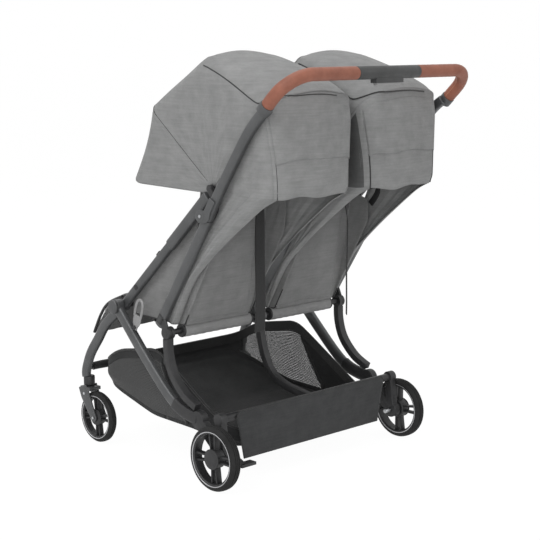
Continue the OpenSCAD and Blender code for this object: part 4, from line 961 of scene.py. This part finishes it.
for side, word in sides:
    finished("roll_cover_" + word, roll_cover(side), roll_cloth, "back_frame", ["seat_rolls"], 60)
    for planes, where in (((281, 287.5), "outer"), ((36, 42), "inner")):
        finished("roll_ring_%s_%s" % (word, where), side_button(side, planes, 18.3, roll, 2), black_plastic,
                 "back_frame")


# Stuffed pads: an even mesh swollen by cloth pressure, with its layout taken along the pad
pad_grain, pad_frames = 0.005, 20


def stuffed(name, bm, line, swell, body, node, fill):
    """A pad that stands for a node, blown up by at most swell metres."""
    mesh = bpy.data.meshes.new(name)
    bm.to_mesh(mesh)
    bm.free()
    obj = bpy.data.objects.new(name, mesh)
    scene.collection.objects.link(obj)
    even = obj.modifiers.new("even", "REMESH")
    even.mode, even.voxel_size = "VOXEL", pad_grain
    graph = bpy.context.evaluated_depsgraph_get()
    obj.data = bpy.data.meshes.new_from_object(obj.evaluated_get(graph))
    obj.modifiers.clear()
    start = [v.co.copy() for v in obj.data.vertices]
    cloth = obj.modifiers.new("swell", "CLOTH")
    cloth.settings.use_pressure = True
    cloth.settings.uniform_pressure_force = 4
    cloth.settings.effector_weights.gravity = 0
    for step in range(1, pad_frames + 1):
        scene.frame_set(step)
    graph = bpy.context.evaluated_depsgraph_get()
    blown = bpy.data.meshes.new_from_object(obj.evaluated_get(graph))
    obj.modifiers.clear()
    for v, rest in zip(blown.vertices, start):
        move = v.co - rest
        if move.length > swell:
            v.co = rest + move.normalized() * swell
    obj.data = blown
    scene.frame_set(1)
    out = bmesh.new()
    out.from_mesh(obj.data)
    bpy.data.objects.remove(obj)
    uv = out.loops.layers.uv.new("UVMap")
    places = [at(0, p) for p in line]
    runs = [0.0]
    for a, b in zip(places, places[1:]):
        runs.append(runs[-1] + (b - a).length)
    spot = {}
    for v in out.verts:
        k = min(range(len(places)), key=lambda i: (places[i].y - v.co.y) ** 2 + (places[i].z - v.co.z) ** 2)
        a, b = places[max(k - 1, 0)], places[min(k + 1, len(places) - 1)]
        ahead = (b - a).normalized()
        spot[v] = (v.co.x, runs[k] + (v.co - places[k]).dot(ahead))
    for face in out.faces:
        for loop in face.loops:
            loop[uv].uv = spot[loop.vert]
    pad = finished(name, out, seat_cloth, body, [node], 80)
    finer = pad.modifiers.new("finer", "SUBSURF")
    finer.levels = finer.render_levels = 1


def drawn_in(s):
    """A pad's width along it, as a share."""
    return 1 - 0.035 * math.sin(math.pi * s)


for side, word in sides:
    for name, line, depth, rounding, rings, swell, body, node, fill in (
            ("seat_cushion_", seat_base_line, 18, 6, 40, 0.006, "rear_frame", "seat_base_", 0.5),
            ("seat_back_cushion_", seat_back_line, 18, 6, 56, 0.007, "recline_" + word, "seat_back_", 0.55),
            ("calf_cushion_", calf_line, 11, 4, 40, 0.005, "calf_" + word, "calf_rest_", 0.45)):
        stuffed(name + word, side_tube(side, line, seat_x, depth, 5, rounding, rings, 40, drawn_in), line, swell, body,
                node + word, fill)
    finished("seat_front_sleeve_" + word,
             skin(lambda u, v: at(side * (120 + 95 * v),
                                  knuckle + round_from(u) * (14.2 + 0.6 * ripple(u * 6, v * 5, side))),
                  32, 24, (0.09, 0.095), True, True),
             seat_cloth, "rear_frame", crease=60)


# Cloth across the back of each seat, wider than the pad, up inside the hood
def back_cloth(side):
    def shape(u, v):
        run = 1.12 * v
        p, heading = on_line(seat_back_line, min(1.0, run))
        behind = beside(heading)
        behind = behind if behind.x > 0 else -behind
        p = p + heading * max(0.0, run - 1) * reach_of(seat_back_line) + behind * (10.5 - 3 * math.sin(math.pi * v))
        wide, foot = soft_step(0.3, 0.75, v), 1 - soft_step(0.0, 0.12, v)
        x0, x1 = 46 - 14 * wide + 10 * foot, 291 + 4 * wide - 10 * foot
        crease = 2.2 * ripple(u * 7 + side, v * 2, 4.0) + 1.0 * ripple(u * 12 - v * 5, v * 6, 8.0)
        return at(side * (x0 + (x1 - x0) * u), p + behind * crease)
    return skin(shape, 60, 80, (0.27, 0.42))


for side, word in sides:
    cloth = finished("seat_back_cloth_" + word, back_cloth(side), seat_cloth, "recline_" + word, crease=70)
    thick(cloth, 0.0016, False)
    for x, where in ((seat_x[1], "outer"), (seat_x[0], "inner")):
        edge_line = []
        for k in range(31):
            p, heading = on_line(calf_line, 0.04 + 0.94 * k / 30)
            ahead = beside(heading)
            edge_line.append(at(side * x, p + (ahead if ahead.x < 0 else -ahead) * 2.0))
        finished("calf_binding_%s_%s" % (word, where), bead(edge_line, 0.0042), binding, "calf_" + word)


# Recline straps: a band behind each seat back, an adjuster and a hanging tail
strap_x, strap_y, band_z, band_wide = 167.5, -34, 731, 24
tail_top, tail_long, tail_wide, tail_turn = 742, 359, 27, {left: math.radians(-32), right: math.radians(48)}


def strap_band(side, x0, x1):
    def shape(u, v):
        x = x0 + (x1 - x0) * v
        slack = 7 * math.sin(math.pi * max(0.0, min(1.0, (x - 34) / 282)))
        return at(side * x, (strap_y + 0.6 * math.sin(x * 0.05), band_z + band_wide * u - slack))
    return skin(shape, 6, 40, (band_wide * 0.001, abs(x1 - x0) * 0.001))


def strap_tail(side):
    def shape(u, v):
        sway = 2.5 * math.sin(v * 2.6 + 0.4) * v + 1.0 * math.sin(v * 9 + side)
        turn = tail_turn[side] * soft_step(0.02, 0.3, v)
        across = tail_wide * (u - 0.5)
        return at(side * strap_x + across * math.cos(turn),
                  (strap_y - 1.5 + sway + across * math.sin(turn), tail_top - tail_long * v))
    return skin(shape, 6, 80, (tail_wide * 0.001, tail_long * 0.001))


for side, word in sides:
    for where, x0 in (("outer", 315.5), ("inner", 35.0)):
        band = finished("recline_band_%s_%s" % (word, where), strap_band(side, x0, strap_x), webbing, None,
                        ["recline_straps"], 60)
        thick(band, 0.0016, False)
        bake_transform(band)
    tail = finished("recline_tail_" + word, strap_tail(side), webbing, crease=60)
    thick(tail, 0.0018, False)
    adjuster = finished("strap_adjuster_" + word,
                        rounded_box((side * strap_x - 18, axle_y - 39.5, 712),
                                    (side * strap_x + 18, axle_y - 30.5, 744), 2.2), black_plastic)
    # The tail and the adjuster are baked in place, on no body
    for item in (tail, adjuster):
        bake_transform(item)


# Basket: a sagging tub of charcoal cloth with a bound rim
rim_profile = [(-597, 222), (-500, 276), (-335, 304), (-285, 276), (-94, 158), (-16, 128)]
foot_profile = [(-597, 166), (-585, 162), (-361, 103), (-181, 97), (-16, 74)]
basket_half, basket_middle, basket_long, basket_foot = 272, -306.5, 290, 8
border_share, wall_share, wall_run, foot_run, foot_rise = 0.0833, 0.4166, 0.3333, 0.0834, 12
basket_layout = (2.2, 0.42)


def height_at(profile, y):
    """A profile's height at a place along it."""
    for (a, za), (b, zb) in zip(profile, profile[1:]):
        if y <= b:
            return za + (zb - za) * max(0.0, min(1.0, (y - a) / (b - a)))
    return profile[-1][1]


def even_height(profile, y):
    """The height with the profile's corners rounded."""
    return sum(height_at(profile, y + d) for d in (-24, -12, 0, 12, 24)) / 5


def wall_swell(down):
    return 1 + 0.006 * math.sin(math.pi * down) - 0.03 * soft_step(0.6, 1, down)


basket_dense = [Vector((math.copysign(abs(math.cos(a)) ** (2 / 9), math.cos(a)) * basket_half,
                        math.copysign(abs(math.sin(a)) ** (2 / 9), math.sin(a)) * basket_long))
                for a in [math.tau * k / 1440 for k in range(1441)]]
basket_steps = 168
basket_plan = [on_line(basket_dense, k / basket_steps)[0] for k in range(basket_steps + 1)]


def basket_place(u, v, out=0.0):
    """Round the tub by u, and from the rim down the wall and in over the floor by v."""
    k = min(basket_steps - 1, int(u * basket_steps))
    x, y = basket_plan[k].lerp(basket_plan[k + 1], u * basket_steps - k)
    inward = max(0.0, (v - 0.5) / 0.5)
    rim_z = even_height(rim_profile, basket_middle + y)
    low_z = even_height(foot_profile, basket_middle + y) + basket_foot
    border = min(25.0, 0.3 * (rim_z - low_z))
    # The border, then the wall down to just above the floor, then the foot
    if v < border_share:
        z = rim_z - border * v / border_share
    elif v < wall_share:
        z = rim_z - border - (rim_z - border - low_z - foot_rise) * (v - border_share) / wall_run
    else:
        z = low_z + foot_rise * (1 - min(1.0, (v - wall_share) / foot_run))
    down = (rim_z - z) / (rim_z - low_z)
    swell = wall_swell(min(1.0, down)) * (1 - inward)
    across, along_y = x * swell, basket_middle + y * swell
    crease = 2.0 * ripple(u * 19, v * 6, 2.0) * math.sin(math.pi * min(1, v / 0.55))
    if inward == 0:
        grow = 1 + (crease + out) / basket_half
        return at(across * grow, (basket_middle + (along_y - basket_middle) * grow, z))
    floor_z = even_height(foot_profile, along_y) + basket_foot
    uneven = 2.5 * ripple(across * 0.012, along_y * 0.012, 3.0)
    sag = -7 * soft_step(0, 0.6, inward) + uneven * soft_step(0, 0.3, inward)
    return at(across, (along_y, floor_z + sag - 6 * soft_step(0, 0.15, inward)))


def basket_sheet(keep):
    """The tub's sheet, or the part of it for which keep(place in mm, share down) holds."""
    bm = skin(basket_place, basket_steps, 48, basket_layout, True)
    uv = bm.loops.layers.uv.active
    gone = []
    for face in bm.faces:
        place = face.calc_center_median() * 1000
        down = sum(loop[uv].uv.y for loop in face.loops) / len(face.loops) / basket_layout[1]
        if not keep(place.x, place.y - axle_y, down):
            gone.append(face)
    bmesh.ops.delete(bm, geom=gone, context="FACES")
    return bm


def window_rear(down):
    """The net window's slanted rear edge."""
    return -214 - 286 * (wall_share - down) * soft_step(0, 0.1, wall_share - down)


def in_window(x, y, down):
    return abs(x) > 240 and -560 < y < window_rear(down) and border_share < down < wall_share


def fold_basket(obj):
    """Bakes a basket piece's placement into its mesh."""
    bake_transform(obj)


tub = finished("basket_tub", basket_sheet(lambda x, y, down: not in_window(x, y, down)), tub_cloth, None,
               ["basket"], 70)
thick(tub, 0.0024)
fold_basket(tub)
# Rim binding, with a wide black border inside
fold_basket(finished("basket_rim_binding", bead([basket_place(k / 160, 0.0) for k in range(161)], 0.0034), binding))


def rim_border(u, v):
    p = basket_place(u, 0.0, -3.4)
    along_y = p.y * 1000 - axle_y
    deep = min(26.0, 0.8 * (p.z * 1000 - even_height(foot_profile, along_y) - basket_foot))
    return p - Vector((0, 0, deep * v * 0.001))


border = finished("basket_rim_border", skin(rim_border, 160, 4, (2.2, 0.026), True), binding, crease=70)
fold_basket(border)

# Net windows in the tub's sides, each with a wide binding down its slanted rear edge
for side, word in sides:
    net = finished("basket_window_" + word, basket_sheet(lambda x, y, down: in_window(x, y, down) and x * side > 0),
                   basket_net, crease=70)
    fold_basket(net)
    edge_points = []
    for k in range(25):
        down = border_share + wall_run * k / 24
        ring = [p for p in (basket_place(j / 900, down) for j in range(900)) if p.x * side > 0.2]
        edge_points.append(min(ring, key=lambda p: abs(p.y * 1000 - axle_y - window_rear(down))))
    fold_basket(finished("basket_window_binding_" + word, bead(edge_points, 0.0065), binding))

# Cloth sleeve of the basket's front edge round the front cross tube
front_bar = Vector((-605.6, 213.4))
finished("basket_front_sleeve",
         skin(lambda u, v: at(-286 + 572 * v, front_bar + round_from(u) * (11.5 + 0.5 * ripple(u * 5, v * 18))),
              28, 80, (0.072, 0.57), True, True),
         tub_cloth, "front_frame", crease=60)

# Rear panel of the basket
panel_foot_z, panel_high, panel_foot_half, panel_top_half, panel_corner = 64, 130, 262, 288, 16


def rear_panel(u, v):
    """Cloth panel hung behind the crossbar, with rounded top corners."""
    x = (panel_foot_half + (panel_top_half - panel_foot_half) * v) * (2 * u - 1)
    near = max(0.0, abs(x) - (panel_top_half - panel_corner)) / panel_corner
    drop = panel_corner * (1 - math.sqrt(max(0.0, 1 - near * near)))
    z = panel_foot_z + (panel_high - drop) * v
    crease = 1.2 * ripple(u * 7, v * 2.5, 1.0) + 0.8 * ripple(u * 16, v * 1.2, 6.0) * (1 - v)
    return at(x, (1.8 + crease * math.sin(math.pi * v), z))


panel = finished("basket_rear_panel", skin(rear_panel, 100, 30, (0.56, 0.13)), basket_cloth, "rear_frame",
                 ["basket_panel"], 70)
thick(panel, 0.0026, False)
panel_edge = [rear_panel(1 - k / 60, 1.0) + Vector((0, 0.001, 0)) for k in range(61)]
finished("panel_piping", bead(panel_edge, 0.0018), binding, "rear_frame")

# Camera, light and floor
camera = bpy.data.objects.new("camera", bpy.data.cameras.new("camera"))
scene.collection.objects.link(camera)
camera.location = (2.709, 2.784, 1.159)
aim = Vector((-0.08, -0.064, 0.493)) - camera.location
camera.rotation_euler = aim.to_track_quat("-Z", "Y").to_euler()
camera.data.lens = 94.5
camera.data.sensor_width = 36
scene.camera = camera
scene.view_settings.view_transform = "Standard"


def soft_light(name, place, size, power, target=(0, 0, 0.55)):
    """A round area light turned towards the stroller."""
    lamp = bpy.data.lights.new(name, "AREA")
    lamp.shape, lamp.size, lamp.energy = "DISK", size, power
    obj = bpy.data.objects.new(name, lamp)
    obj.location = place
    obj.rotation_euler = (Vector(target) - Vector(place)).to_track_quat("-Z", "Y").to_euler()
    scene.collection.objects.link(obj)


soft_light("key_light", (3.2, 0.6, 3.4), 2.6, 66)
soft_light("back_fill", (-1.2, 3.8, 2.6), 2.6, 27)
soft_light("low_fill", (3.4, 3.2, 0.9), 2.4, 50)
soft_light("top_light", (0.0, -0.6, 4.2), 3.0, 46)


def seen_white(tree, white_to, plain_to, target):
    """White to the camera, mirrors and glass, and plain to everything that lights the object."""
    path = tree.nodes.new("ShaderNodeLightPath")
    seen = sum_of(tree, sum_of(tree, path.outputs["Is Camera Ray"], path.outputs["Is Glossy Ray"], "MAXIMUM"),
                  path.outputs["Is Transmission Ray"], "MAXIMUM")
    mix = tree.nodes.new("ShaderNodeMixShader")
    tree.links.new(seen, mix.inputs[0])
    tree.links.new(plain_to, mix.inputs[1])
    tree.links.new(white_to, mix.inputs[2])
    tree.links.new(mix.outputs[0], target)


world = bpy.data.worlds.new("studio")
scene.world = world
world.use_nodes = True
sky = world.node_tree
sky_light = sky.nodes["Background"]
sky_light.inputs["Color"].default_value = (1, 1, 1, 1)
sky_light.inputs["Strength"].default_value = 0.42
sky_white = node_of(sky, "ShaderNodeBackground", Strength=1.0)
sky_white.inputs["Color"].default_value = (1, 1, 1, 1)
seen_white(sky, sky_white.outputs[0], sky_light.outputs[0], sky.nodes["World Output"].inputs["Surface"])

floor_bm = bmesh.new()
bmesh.ops.create_grid(floor_bm, x_segments=1, y_segments=1, size=60)
floor_mat = bpy.data.materials.new("pale_floor")
floor_mat.use_nodes = True
floor_tree = floor_mat.node_tree
floor_paint = floor_tree.nodes["Principled BSDF"]
floor_paint.inputs["Base Color"].default_value = (0.85, 0.85, 0.85, 1)
floor_paint.inputs["Roughness"].default_value = 0.9
floor_glow = node_of(floor_tree, "ShaderNodeEmission", Strength=1.05)
floor_share = floor_tree.nodes.new("ShaderNodeMixShader")
floor_share.inputs[0].default_value = 0.92
floor_tree.links.new(floor_paint.outputs[0], floor_share.inputs[1])
floor_tree.links.new(floor_glow.outputs[0], floor_share.inputs[2])
seen_white(floor_tree, floor_share.outputs[0], floor_paint.outputs[0],
           floor_tree.nodes["Material Output"].inputs["Surface"])
floor_mesh = bpy.data.meshes.new("floor")
floor_bm.to_mesh(floor_mesh)
floor_bm.free()
floor_mesh.materials.append(floor_mat)
floor = bpy.data.objects.new("floor", floor_mesh)
scene.collection.objects.link(floor)
